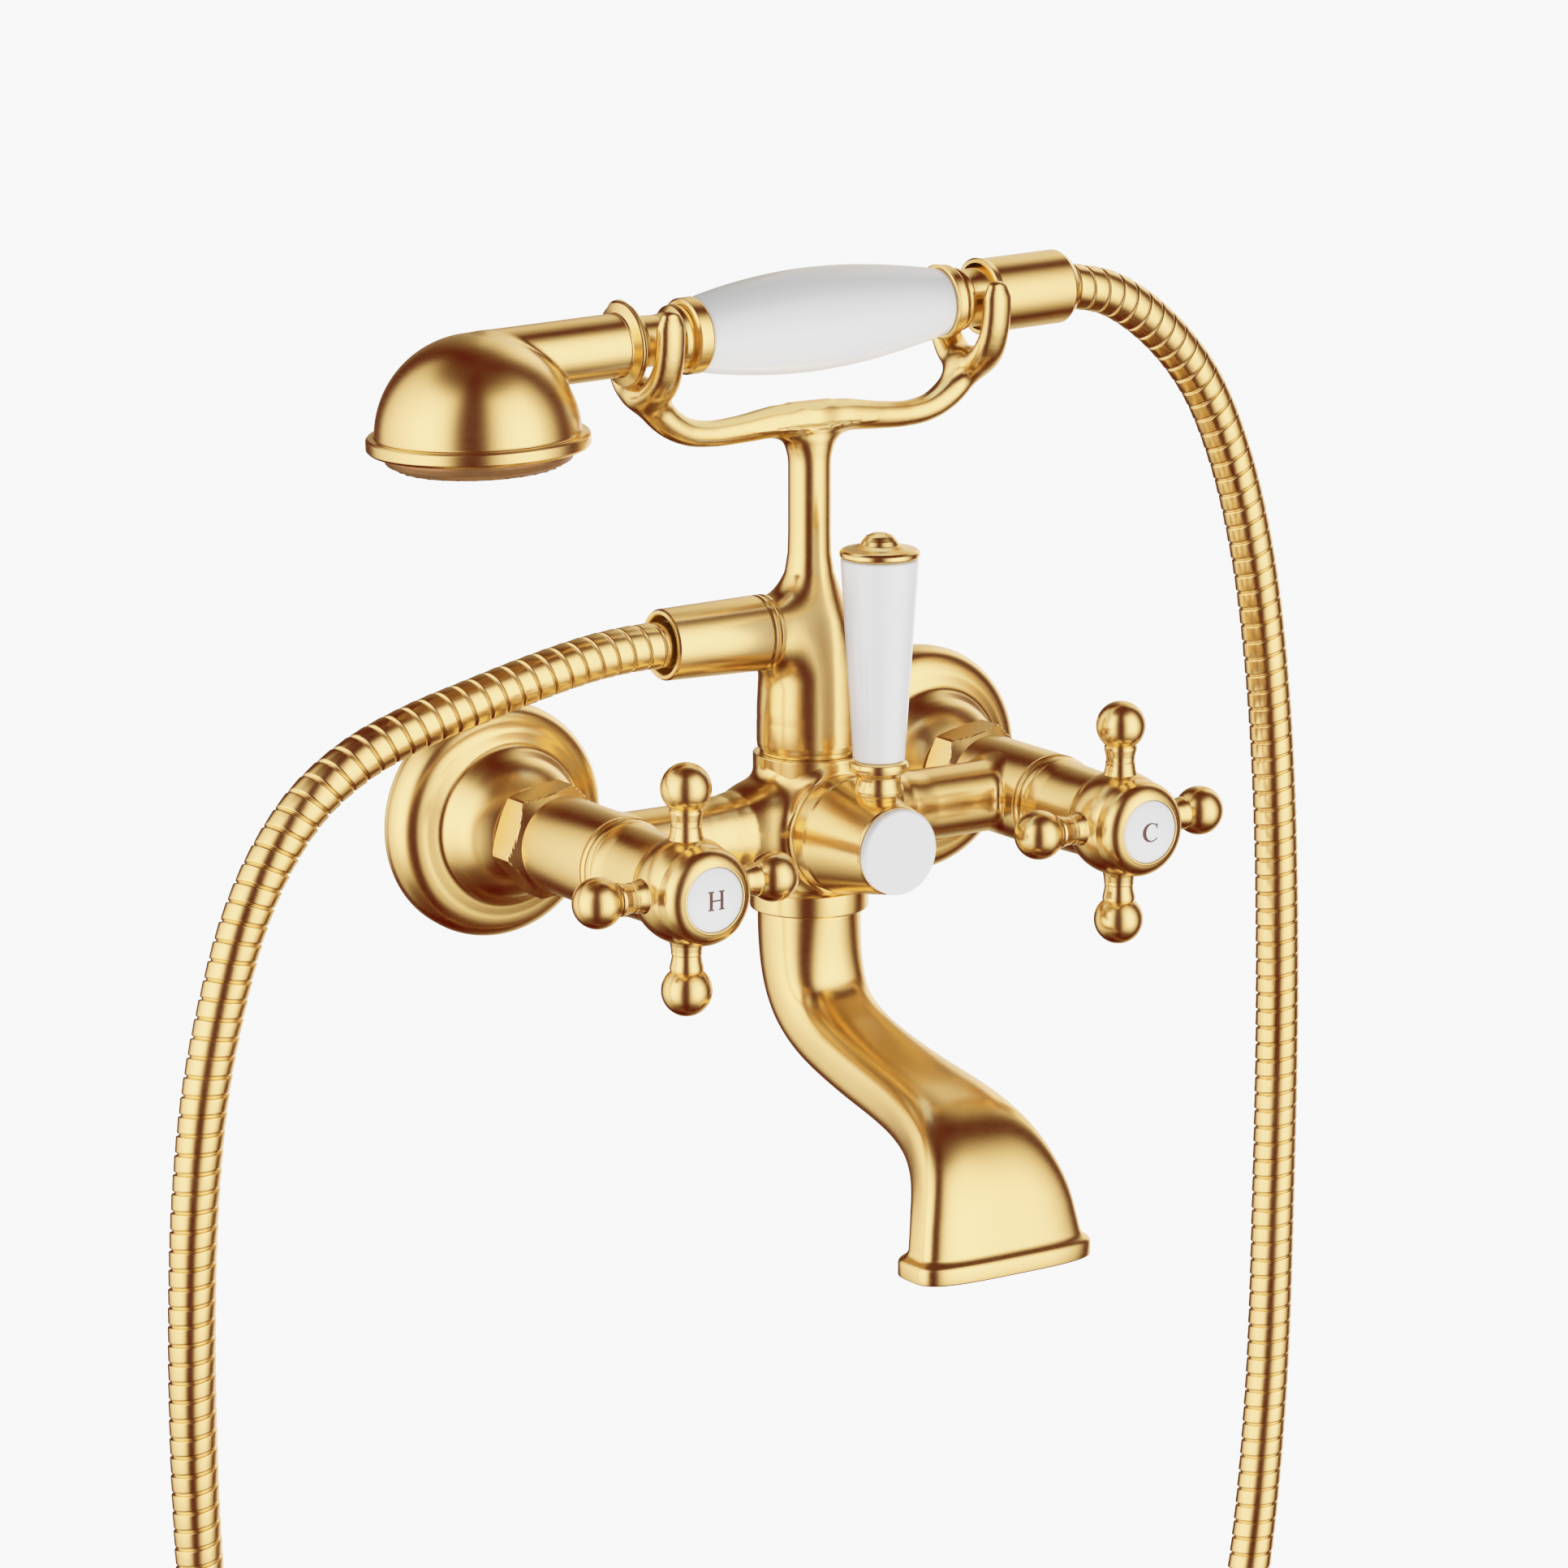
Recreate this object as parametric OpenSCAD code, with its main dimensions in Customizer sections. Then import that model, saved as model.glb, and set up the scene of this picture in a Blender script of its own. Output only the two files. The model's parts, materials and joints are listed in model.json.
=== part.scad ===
// Wall mounted bath and shower mixer with a cradled handset and a hanging hose.
// Millimetres. X runs along the wall, -Y out of the wall and Z up.
// The origin lies on the wall face, midway between the two inlets.

/* [Wall fixing] */
// Distance between the hot and cold inlet centres
inlet_spacing = 150; // [144:1:156]
// Outside diameter of the inlet thread in the wall
inlet_thread_d = 20.9; // [20.6:0.05:20.95]
// Length of the inlet thread behind the wall face
inlet_thread_len = 18; // [12:1:25]
// Diameter of each bell shaped wall flange
flange_d = 69.6; // [66:0.2:76]

/* [Mixer body] */
// Distance from the wall face to the axis of the riser and spout
body_out = 58; // [57:0.5:60]
// Diameter of the valve tubes that carry the handles
valve_tube_d = 28.5; // [28:0.1:29.5]
// Diameter of the bar that joins the valve tubes
bar_d = 21.3; // [20:0.1:23]
// Diameter of the collar that carries the riser
collar_d = 33; // [32.5:0.1:34]

/* [Cross handles] */
// Distance from a handle's axis to the centre of each ball
arm_reach = 29; // [28:0.5:31]
// Diameter of the ball at the end of each arm
ball_d = 14.5; // [13:0.1:15]
// Diameter of the round hub
hub_d = 30.8; // [30.4:0.1:31.4]
// Diameter of the white index disc
index_d = 18.4; // [17:0.1:18.6]

/* [Diverter] */
// Distance from the wall face to the axis of the lever
lever_out = 94; // [93:0.5:95]
// Diameter of the white button on the front
button_d = 25; // [23:0.1:25.6]
// Length of the white lever grip
grip_len = 58.6; // [50:0.2:62]

/* [Spout] */
// Distance from the wall face to the centre of the spout mouth
spout_out = 153; // [145:1:160]
// Height of the spout mouth below the handle axes
spout_drop = 110.3; // [108:0.1:120]
// Width of the spout mouth along the wall
spout_mouth_w = 54.4; // [48:0.2:58]

/* [Handset] */
// Diameter of the domed shower head
head_d = 58; // [56:0.5:60]
// Length of the white ceramic handle
handle_len = 84; // [82:0.5:84.5]
// Greatest diameter of the white ceramic handle
handle_d = 31; // [26:0.5:32]

/* [Hose] */
// Outside diameter of the metal hose
hose_d = 13.5; // [12.5:0.1:14]

/* [Hidden] */

GOLD = "goldenrod";
PALE_BRASS = "khaki";
WHITE = "whitesmoke";
BRONZE = "saddlebrown";
RUBBER = "dimgray";

valve_x = inlet_spacing / 2;
valve_tube_r = valve_tube_d / 2;
bar_r = bar_d / 2;
collar_r = collar_d / 2;

// Stations along a valve's axis and along the diverter's, measured out from this far off the wall
datum_out = 3;
union_end = 34;
washer_end = 36;
nut_start = 27;
nut_end = 40;
tube_start = 40.3;
tube_end = 72;
bonnet_end = 97.6;
handle_start = 97.9;
arm_plane = 106;
index_seat = 117.8;
union_nut_across = 30;
nut_twist = 11;

// Stations along the vertical axis of the body
collar_top = 21.2;
ring_bottom = -25.2;
ring_r = 17.4;
riser_r = 15.3;
spout_r = 15.2;
plug_r = 13;
plug_low = 11.5;
tenon_r = 12.5;
tenon_high = -11.5;
outlet_z = 58.2;

// Spout: its centreline in Y and Z, then its half width and half depth along that line
spout_sides = 28;
lip_start = 0.945;
lip_full = 0.97;
lip_proud = 2.7;
SPOUT_BEND = [[-body_out, ring_bottom - 0.3], [-body_out, -49], [-63, -57], [-84, -63]];
SPOUT_FALL = [[-84, -63], [-122, -74], [-spout_out, -67], [-spout_out, -spout_drop]];
SPOUT_WIDE = [[0, spout_r], [0.37, 13.8], [0.63, 14.4], [0.8, 19.2], [0.95, spout_mouth_w / 2], [1, spout_mouth_w / 2]];
SPOUT_DEEP = [[0, spout_r], [0.37, 11.2], [0.63, 9.4], [0.8, 10.4], [1, 8.9]];

// Stations along the diverter's axis
boss_end = 72;
knob_start = 72.3;
knob_end = 99.8;
boss_r = 17.2;

// The handset's axis starts above the middle of the head and rises a little to the right
head_x = -110.5;
dome_z = 123.8;
handset_z = 144.1;
handset_tilt = 1.95;

// Stations along the handset's axis, measured from the middle of the head
flange_at = 47.8;
grip_at = 71.5;
grip_end = grip_at + handle_len;
thread_at = 175.5;
thread_end = 186;
nut_at = 169.6;
tail_end = 199.9;

// Cradle
fork_x = 55.9;
stem_r = 6.2;

// Route of the hose, from the lower nut round the hanging loop to the upper nut
HOSE_ROUTE = [
    [-49, -58, 58.2], [-60, -58, 58.2], [-74, -58, 57], [-93, -58, 53.5], [-113, -58, 48.8],
    [-133, -58, 43.6], [-151, -58, 36.6], [-166, -58, 26.4], [-178, -58, 12], [-187, -58, -5],
    [-194, -58, -26], [-200, -58, -51], [-204, -58, -82], [-206, -58, -120], [-206, -58, -167],
    [-203.5, -58, -217], [-198.5, -58, -268], [-189, -58, -320], [-173, -58, -369], [-149, -58, -413],
    [-115, -58, -449], [-68, -58, -474], [-16, -58, -482], [36, -58, -474], [82, -58, -449],
    [116, -58, -413], [140, -58, -369], [157, -58, -318], [168, -58, -265], [173.5, -58, -207],
    [175, -58, -141], [175, -58, -75], [172.5, -58, -15], [168, -58, 30], [162, -58, 64],
    [153, -58, 94], [141, -58, 118], [125, -58, 135.5], [107, -58, 147], [90.1, -58, 150.95]];

// ---------------------------------------------------------------- helpers

function unit(v) = v / norm(v);

function paired(radii) = [for (r = radii) [r, r]];

function arc(cx, cy, r, from, to, steps) =
    [for (i = [0:steps]) let (a = from + (to - from) * i / steps) [cx + r * cos(a), cy + r * sin(a)]];

function bezier(p, t) =
    pow(1 - t, 3) * p[0] + 3 * t * pow(1 - t, 2) * p[1] + 3 * t * t * (1 - t) * p[2] + pow(t, 3) * p[3];

function along(points, i) =
    unit(points[min(i + 1, len(points) - 1)] - points[max(i - 1, 0)]);

// Faces that skin a stack of rings, each with the same number of points
function skin(rings, sides) = concat(
    [[for (j = [0:sides - 1]) j]],
    [for (i = [0:rings - 2]) for (j = [0:sides - 1]) let (k = (j + 1) % sides)
        each [[i * sides + j, (i + 1) * sides + j, (i + 1) * sides + k],
            [i * sides + j, (i + 1) * sides + k, i * sides + k]]],
    [[for (j = [sides - 1:-1:0]) (rings - 1) * sides + j]]);

// Tube swept along points. across is square to the plane of the bends, and each of the radii is a
// pair: the tube's radius in that plane and across it
module sweep(points, radii, across, sides = 12) {
    rings = len(points);
    verts = [for (i = [0:rings - 1])
        let (t = along(points, i), n = unit(cross(across, t)), b = unit(cross(t, n)))
        for (j = [0:sides - 1]) let (a = 360 * j / sides)
        points[i] + radii[i][0] * n * cos(a) + radii[i][1] * b * sin(a)];
    polyhedron(verts, skin(rings, sides), convexity = 6);
}

// Stands a shape made along +Z on the wall behind a valve, side is -1 for hot and 1 for cold
module on_wall(side) {
    translate([side * valve_x, 0, 0]) rotate([90, 0, 0]) children();
}

// Stands a shape made along +Z on the axis of a valve, from the datum of its stations
module on_valve(side) {
    translate([side * valve_x, -datum_out, 0]) rotate([90, 0, 0]) children();
}

module on_diverter() {
    translate([0, -datum_out, 0]) rotate([90, 0, 0]) children();
}

module on_body() {
    translate([0, -body_out, 0]) children();
}

// Turns a shape made along +Z to lie along the handset, from the middle of the head
module on_handset() {
    translate([head_x, -body_out, handset_z]) rotate([0, 90 - handset_tilt, 0]) children();
}

// Sets a shape square to the handset's axis, with its origin at the centre of the dome
module on_head() {
    translate([head_x, -body_out, dome_z]) rotate([0, -handset_tilt, 0]) children();
}

module ring(outer, inner, low, high) {
    difference() {
        translate([0, 0, low]) cylinder(r = outer, h = high - low, $fn = 96);
        translate([0, 0, low - 1]) cylinder(r = inner, h = high - low + 2, $fn = 96);
    }
}

module rod(r, low, high) {
    translate([0, 0, low]) cylinder(r = r, h = high - low, $fn = 96);
}

module lathe(profile) {
    rotate_extrude($fn = 96) polygon(profile);
}

module o_ring(middle_r, section_r, z) {
    translate([0, 0, z]) rotate_extrude($fn = 96) translate([middle_r, 0]) circle(r = section_r, $fn = 32);
}

// ---------------------------------------------------------------- wall fixing

module wall_flange() {
    rim_r = flange_d / 2;
    color(GOLD) lathe(concat(
        [[rim_r - 1.6, 0], [rim_r, 0], [rim_r, 1.6]],
        arc(rim_r - 9.5, 2.6, 9.5, 0, 68, 8),
        [[25.6, 12.2], [24.9, 12.4]],
        arc(23.6, 13.3, 1.0, -40, 140, 5),
        arc(11.6, 17, 10.2, -8, 62, 8),
        [[14.2, 27.4], [13.6, 27.8], [13.6, 25.6], [19.4, 20.5], [20.8, 15], [22.6, 11.6], [27, 10],
            [rim_r - 4.2, 7], [rim_r - 1.8, 3]]));
}

module inlet_union() {
    color(PALE_BRASS) difference() {
        union() {
            rod(inlet_thread_d / 2, -inlet_thread_len, 2.5);
            translate([0, 0, 2]) cylinder(r = 13.5, h = 8, $fn = 6);
            rod(11, 9, 25);
            rod(13.1, 25, datum_out + union_end);
        }
        rod(7.5, -inlet_thread_len - 1, datum_out + union_end + 1);
    }
}

module union_nut() {
    corner_r = union_nut_across / 2 / cos(30);
    color(GOLD) difference() {
        intersection() {
            translate([0, 0, nut_start]) rotate(nut_twist)
                cylinder(r = corner_r, h = nut_end - nut_start, $fn = 6);
            lathe([[0, nut_start], [corner_r - 0.4, nut_start], [corner_r, nut_start + 0.6],
                [corner_r, nut_end - 3], [valve_tube_r, nut_end], [0, nut_end]]);
        }
        rod(13.15, nut_start - 1, 38.2);
        rod(11.3, 38, nut_end + 1);
    }
}

module inlet_washers() {
    for (side = [-1, 1]) on_valve(side) color(RUBBER) ring(12.4, 8, union_end, washer_end);
}

// ---------------------------------------------------------------- mixer body

module mixer_body() {
    color(GOLD) difference() {
        union() {
            for (side = [-1, 1]) on_valve(side) {
                rod(12.9, washer_end, 38.1);
                rod(11.1, 38, tube_start + 0.1);
                rod(valve_tube_r, tube_start, tube_end);
            }
            on_body() {
                translate([-valve_x, 0, 0]) rotate([0, 90, 0]) rod(bar_r, 0, inlet_spacing);
                rod(collar_r, ring_bottom + 6, collar_top);
                lathe([[0, ring_bottom], [ring_r - 0.8, ring_bottom], [ring_r, ring_bottom + 0.8],
                    [ring_r, ring_bottom + 6.2], [collar_r, ring_bottom + 7.4], [0, ring_bottom + 7.4]]);
                for (side = [-1, 1]) rotate([0, side * 90, 0])
                    lathe([[0, 0], [15.4, 0], [15.4, 13], [12.4, 20], [bar_r, 27], [0, 27]]);
            }
            on_diverter() rod(boss_r, body_out - datum_out - 14, boss_end);
        }
        for (side = [-1, 1]) on_valve(side) {
            rod(7, washer_end - 1, 50);
            rod(10.6, 48, tube_end + 1);
        }
        on_body() {
            translate([-valve_x, 0, 0]) rotate([0, 90, 0]) rod(6.5, 0, inlet_spacing);
            rod(7.5, tenon_high - 1, plug_low + 1);
            rod(plug_r + 0.1, plug_low, collar_top + 1);
            rod(tenon_r + 0.1, ring_bottom - 1, tenon_high);
            for (z = [16.5, -18.5]) translate([0, 0, z]) rotate([-90, 0, 0]) rod(2.55, 10, 20);
        }
        on_diverter() {
            rod(9.6, 46, boss_end + 1);
            rod(11.1, 64, boss_end + 1);
        }
    }
}

module grub_screws() {
    on_body() for (z = [16.5, -18.5]) translate([0, 0, z]) rotate([-90, 0, 0])
        color(PALE_BRASS) difference() {
            rod(2.5, 13.2, 16.9);
            translate([0, 0, 15.2]) cylinder(r = 1.45, h = 3, $fn = 6);
        }
}

// ---------------------------------------------------------------- hot and cold valves

module headwork() {
    color(PALE_BRASS) difference() {
        union() {
            rod(8.6, 49.6, 61);
            rod(10.5, 60, tube_end);
            translate([0, 0, tube_end]) cylinder(r = 12.2, h = 6, $fn = 6);
            rod(7.4, 77, 93.6);
        }
        rod(6.9, 48, 63.4);
        rod(4.1, 60, 95);
        for (turn = [0, 90]) rotate([0, 90, turn]) translate([-54.6, 0, -12]) cylinder(r = 1.8, h = 24, $fn = 48);
    }
}

module headwork_seals() {
    for (side = [-1, 1]) on_valve(side) color(RUBBER) ring(8.4, 6.9, 48, 49.6);
}

module fixed_disc() {
    color(WHITE) difference() {
        rod(6.8, 56.6, 59);
        for (turn = [0, 180]) rotate(turn) translate([0, 3.6, 50]) rod(1.9, 0, 12);
    }
}

module moving_disc() {
    color(WHITE) difference() {
        rod(6.7, 59, 61);
        for (turn = [0, 180]) rotate(turn) translate([3.6, 0, 50]) rod(1.9, 0, 12);
    }
}

module spindle() {
    color(PALE_BRASS) difference() {
        union() {
            rod(6.7, 61, 63);
            rod(4.02, 62, 99.4);
            translate([-3.2, -3.2, 99.2]) cube([6.4, 6.4, 12.6]);
        }
        rod(2.02, 101, 113);
    }
}

module bonnet() {
    color(GOLD) difference() {
        lathe(concat(
            [[0, tube_end + 0.3], [13.6, tube_end + 0.3], [valve_tube_r, tube_end + 0.8],
                [valve_tube_r, tube_end + 1.6]],
            arc(9.2, 75.4, 4.8, -20, 28, 4),
            [[13.0, 82], [12.75, 90], [12.7, bonnet_end], [0, bonnet_end]]));
        rod(12.35, tube_end - 1, 79);
        lathe([[0, 78.9], [12.35, 78.9], [11, 83], [7.6, 86], [0, 86]]);
        rod(7.5, 85, bonnet_end + 1);
    }
}

// ---------------------------------------------------------------- cross handles

// One arm along +X from the hub to its ball
module arm() {
    ball_r = ball_d / 2;
    rotate([0, 90, 0]) {
        lathe([[0, 10], [4.9, 10], [4.9, 12.6], [5.15, 13.2], [5.15, 14.2], [4.6, 15.9], [4.35, 17.6],
            [4.4, 18.4], [4.2, 18.6], [4.35, 20.2], [4.8, 22.3], [4.8, 23.1], [4.5, 23.6], [0, 25]]);
        translate([0, 0, arm_reach]) sphere(r = ball_r, $fn = 64);
    }
}

module cross_handle() {
    hub_r = hub_d / 2;
    color(GOLD) difference() {
        union() {
            intersection() {
                translate([0, 0, arm_plane]) sphere(r = hub_r, $fn = 96);
                rod(hub_r, handle_start, 112.4);
            }
            lathe(concat(
                [[0, 111], [12.6, 111], [12.6, 112.4], [13.9, 112.6], [14.25, 113]],
                arc(9.2, 115.4, 5.1, -8, 76, 7),
                [[index_d / 2 + 0.9, 121], [index_d / 2 + 0.15, 121], [0, 119]]));
            translate([0, 0, arm_plane]) for (turn = [0:90:270]) rotate(turn) arm();
        }
        translate([-3.25, -3.25, 90]) cube([6.5, 6.5, 22.2]);
        rod(4.1, handle_start - 1, 99.7);
        rod(2.4, 110, 120);
        rod(4.7, 113.6, 120);
        rod(index_d / 2 + 0.1, index_seat, 124);
    }
}

module index_disc() {
    color(WHITE) lathe(concat([[0, index_seat], [index_d / 2, index_seat], [index_d / 2, 120.6]],
        arc(0, 82, 39.6, 76.8, 90, 5)));
}

module handle_screw() {
    color(PALE_BRASS) difference() {
        union() {
            rod(1.98, 103, 114);
            rod(4.2, 113.6, 116.8);
        }
        translate([0, 0, 115]) cylinder(r = 1.7, h = 4, $fn = 6);
    }
}

// ---------------------------------------------------------------- diverter

module diverter_cartridge() {
    color(PALE_BRASS) on_diverter() difference() {
        union() {
            rod(9.5, 48.5, 64.5);
            rod(11, 64, boss_end - 0.2);
        }
        rod(6.5, 50, 63);
        rod(4.1, 60, boss_end + 1);
        for (turn = [0, 90]) rotate(turn) translate([-20, 0, 55]) rotate([0, 90, 0])
            cylinder(r = 4, h = 40, $fn = 64);
    }
}

module diverter_rotor() {
    color(PALE_BRASS) on_diverter() difference() {
        union() {
            rod(6.4, 50.2, 62.8);
            rod(4, 62, 84);
            translate([-2.8, -2.8, 83.8]) cube([5.6, 5.6, 9.2]);
        }
        translate([0, 0, 55]) rotate([90, 0, 0]) cylinder(r = 3.6, h = 10, $fn = 64);
        translate([0, 0, 55]) rotate([0, 90, 0]) cylinder(r = 3.6, h = 20, center = true, $fn = 64);
        rod(1.72, 84, 94);
    }
}

// Outside of the diverter knob, grown by a clearance where a piece saddles it
module knob_cone(grow = 0) {
    on_diverter() lathe([[0, knob_start], [16.6 + grow, knob_start], [17.2 + grow, knob_start + 0.5],
        [17.2 + grow, 77.4], [16.9 + grow, 78.2], [12.9 + grow, knob_end - 0.6], [12.5, knob_end], [0, knob_end]]);
}

module diverter_knob() {
    color(GOLD) difference() {
        knob_cone();
        on_diverter() {
            rod(13.6, knob_start - 1, 78);
            rod(4.2, 77, 84);
            translate([-2.85, -2.85, 83]) cube([5.7, 5.7, 10.2]);
            rod(1.9, 90, 101);
            rod(3.6, 94.6, 101);
            rod(11.1, 98.2, 101);
        }
        translate([0, -lever_out, 9]) cylinder(r = 3.05, h = 10, $fn = 64);
    }
}

module diverter_screw() {
    color(PALE_BRASS) on_diverter() difference() {
        union() {
            rod(1.68, 85.5, 95);
            rod(3.4, 94.6, 97.4);
        }
        translate([0, 0, 96]) cylinder(r = 1.4, h = 3, $fn = 6);
    }
}

module diverter_button() {
    color(WHITE) on_diverter() lathe([[0, 98.2], [11, 98.2], [11, knob_end + 0.02],
        [button_d / 2 - 0.4, knob_end + 0.02], [button_d / 2, knob_end + 0.4],
        [button_d / 2, 102], [button_d / 2 - 0.5, 102.5], [0, 102.8]]);
}

// The lever's pieces share one threaded rod, and the stem's foot is saddled to the knob
module diverter_lever_stem() {
    color(GOLD) difference() {
        translate([0, -lever_out, 0]) lathe([[0, 12], [5.2, 12], [5.5, 14.8], [7.0, 15.4], [7.2, 16.6],
            [6.6, 18.2], [6.3, 19.6], [6.4, 20.6], [7.4, 21.6], [8.4, 22.2], [8.6, 23.4], [8.2, 24.6],
            [7, 25.2], [0, 25.2]]);
        knob_cone(0.02);
    }
    color(GOLD) translate([0, -lever_out, 0]) {
        rod(3, 9.2, 16);
        rod(2.2, 25, 76);
    }
}

module diverter_lever_grip() {
    low = 25.3;
    color(WHITE) translate([0, -lever_out, 0]) difference() {
        lathe([[0, low], [7.1, low], [7.5, low + 0.5], [11.2, low + grip_len - 0.5],
            [10.8, low + grip_len], [0, low + grip_len]]);
        rod(2.4, low - 1, low + grip_len + 1);
    }
}

module diverter_lever_finial() {
    low = 25.4 + grip_len;
    color(GOLD) translate([0, -lever_out, 0]) difference() {
        lathe([[0, low], [10.9, low], [11.5, low + 0.8], [11.5, low + 1.8], [10.8, low + 2.5], [7.6, low + 3.1],
            [5.6, low + 3.9], [4.9, low + 5.2], [3.6, low + 6.4], [1.8, low + 7.1], [0, low + 7.3]]);
        rod(2.3, low - 1, low + 1);
    }
    color(GOLD) translate([0, -lever_out, 0]) ring(2.36, 1.2, 76.2, low + 1.2);
}

// ---------------------------------------------------------------- spout

function spout_line(t) = t < 0.5 ? bezier(SPOUT_BEND, 2 * t) : bezier(SPOUT_FALL, 2 * t - 1);
function spout_slope(t) = unit(spout_line(min(t + 0.01, 1)) - spout_line(max(t - 0.01, 0)));
function spout_square(t) = 2 + 1.6 * t;

// One ring of the spout: a circle at the top that turns into a rounded oblong at the mouth
function spout_ring(t, grow) =
    let (c = spout_line(t), s = spout_slope(t), w = lookup(t, SPOUT_WIDE) + grow,
        d = lookup(t, SPOUT_DEEP) + grow, e = 2 / spout_square(t))
    [for (j = [0:spout_sides - 1]) let (a = 360 * j / spout_sides,
        u = sign(cos(a)) * pow(abs(cos(a)), e) * w, v = sign(sin(a)) * pow(abs(sin(a)), e) * d)
        [u, c[0] + v * s[1], c[1] - v * s[0]]];

// The spout's wall is one skin: down the outside, round the lip and back up the inside
module spout_wall() {
    steps = 20;
    down = [for (i = [0:steps]) [i * lip_start / steps, 0]];
    lip = [[lip_full, lip_proud], [1, lip_proud], [1, -1.9]];
    up = [for (i = [steps - 1:-1:0]) [i / steps, -1.9 - 1.8 * pow(1 - i / steps, 4)]];
    stations = concat(down, lip, up);
    rings = len(stations);
    verts = [for (p = stations) each spout_ring(p[0], p[1])];
    polyhedron(verts, [for (i = [0:rings - 1]) for (j = [0:spout_sides - 1])
        let (n = (i + 1) % rings, k = (j + 1) % spout_sides)
        each [[i * spout_sides + j, n * spout_sides + j, n * spout_sides + k],
            [i * spout_sides + j, n * spout_sides + k, i * spout_sides + k]]], convexity = 8);
}

module spout() {
    color(GOLD) {
        spout_wall();
        on_body() difference() {
            rod(tenon_r, ring_bottom - 2.8, tenon_high);
            rod(9, ring_bottom - 4, tenon_high + 1);
            for (z = [-14.2, -22.6]) ring(tenon_r + 1, 11, z - 1, z + 1);
        }
    }
}

module spout_o_rings() {
    on_body() for (z = [-14.2, -22.6]) color(RUBBER) o_ring(11.78, 0.76, z);
}

module flow_straightener() {
    mouth_y = -spout_out;
    color(WHITE) translate([0, mouth_y, -spout_drop + 9]) difference() {
        cube([24, 9, 4], center = true);
        for (i = [-2:2]) for (k = [-1, 1]) translate([i * 4.6, k * 2.2, -3]) cylinder(r = 1.4, h = 6, $fn = 24);
    }
}

// ---------------------------------------------------------------- riser and cradle

// Centreline of one cradle arm, side is -1 for the head end and 1 for the hose end
function arm_route(side) = [for (p = [[0, 119.4], [12, 120.2], [24, 118.6], [34, 117.7], [42, 118.9],
    [48.5, 122.6], [53.5, 128.4], [fork_x, 132]]) [side * p[0], -body_out, p[1]]];
function fork_route(side, low) = [for (p = [[-14, 155.2], [-14.1, 153.6], [-14, 147], [-12.6, 140.4], [-9, 135],
    [-4.5, low], [0, low - 0.9], [4.5, low], [9, 135], [12.6, 140.4], [14, 147], [14.1, 153.6], [14, 155.2]])
    [side * fork_x, p[0] - body_out, p[1]]];
FORK_RADII = [[1.8, 3], [2.7, 4.2], [3, 4.7], [3.1, 4.8], [3.3, 4.8], [3.5, 4.6], [3.6, 4.4], [3.5, 4.6],
    [3.3, 4.8], [3.1, 4.8], [3, 4.7], [2.7, 4.2], [1.8, 3]];

module cradle_half(side) {
    sweep(arm_route(side), paired([4.2, 4.4, 3.9, 3.7, 3.9, 4.2, 4.3, 3.6]), [0, 1, 0]);
    sweep(fork_route(side, 131.6), FORK_RADII, [1, 0, 0]);
}

module shower_riser() {
    color(GOLD) difference() {
        union() {
            on_body() {
                rod(plug_r, plug_low, collar_top + 0.4);
                lathe([[0, collar_top + 0.3], [riser_r, collar_top + 0.3], [riser_r + 0.1, 34], [14.9, 44],
                    [13.9, 54], [11.8, 62], [9.2, 68.5], [7.2, 74.5], [stem_r, 80], [stem_r, 112],
                    [6.8, 118], [6.2, 121.6], [3, 124], [0, 124.4]]);
                translate([0, 0, outlet_z]) rotate([0, -90, 0])
                    lathe([[0, 0], [9.6, 0], [9.8, 14.6], [11, 15.2], [11, 17.2], [10.7, 17.4],
                        [10.7, 18.6], [9.85, 18.8], [9.85, 31], [0, 31]]);
            }
            for (side = [-1, 1]) cradle_half(side);
        }
        on_body() {
            rod(8, plug_low - 1, outlet_z + 4);
            translate([0, 0, outlet_z]) rotate([0, -90, 0]) rod(6, 0, 32);
            for (z = [13.6, 19.4]) ring(plug_r + 1, 11.2, z - 1, z + 1);
        }
    }
}

module riser_o_rings() {
    on_body() for (z = [13.6, 19.4]) color(RUBBER) o_ring(12.1, 0.85, z);
}

// ---------------------------------------------------------------- hose ends

// Pieces of a hose end, made along +Z from the thread's end towards the hose
module on_outlet() {
    translate([-31, -body_out, outlet_z]) rotate([0, -90, 0]) children();
}

module lower_hose_nut() {
    color(GOLD) on_outlet() lathe([[9.9, -12], [10.7, -12], [11, -11.6], [10.3, 19.4], [9.8, 20], [8.9, 20],
        [8.5, 19.6], [8.5, 7.2], [7, 7.2], [7, 4.8], [9.9, 4.8]]);
}

module hose_washer(z) {
    color(RUBBER) ring(9.5, 5.5, z, z + 2);
}

module hose_tail(z, length) {
    color(PALE_BRASS) difference() {
        union() {
            rod(9.6, z, z + 2.5);
            rod(6.6, z + 2, z + length);
        }
        rod(4.4, z - 1, z + length + 1);
    }
}

module shower_hose() {
    color(GOLD) sweep(HOSE_ROUTE, paired([for (p = HOSE_ROUTE) hose_d / 2]), [0, 1, 0], 12);
}

// ---------------------------------------------------------------- handset

module head_shell() {
    head_r = head_d / 2;
    color(GOLD) difference() {
        union() {
            on_head() lathe(concat([[0, -3.3], [30.6, -3.3], [31.4, -2.5], [31.4, 0.3], [30.8, 0.9],
                [head_r + 0.3, 0.9]], arc(0, 0, head_r, 2, 90, 14)));
            on_handset() rod(9.1, 12, 30);
        }
        difference() {
            on_head() lathe(concat([[0, -4], [27, -4], [27, 0.9]], arc(0, 0, head_r - 2.2, 2, 90, 12)));
            on_handset() rod(9.1, 19, 30);
        }
        on_handset() rod(6.6, 8, 31);
    }
}

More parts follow.
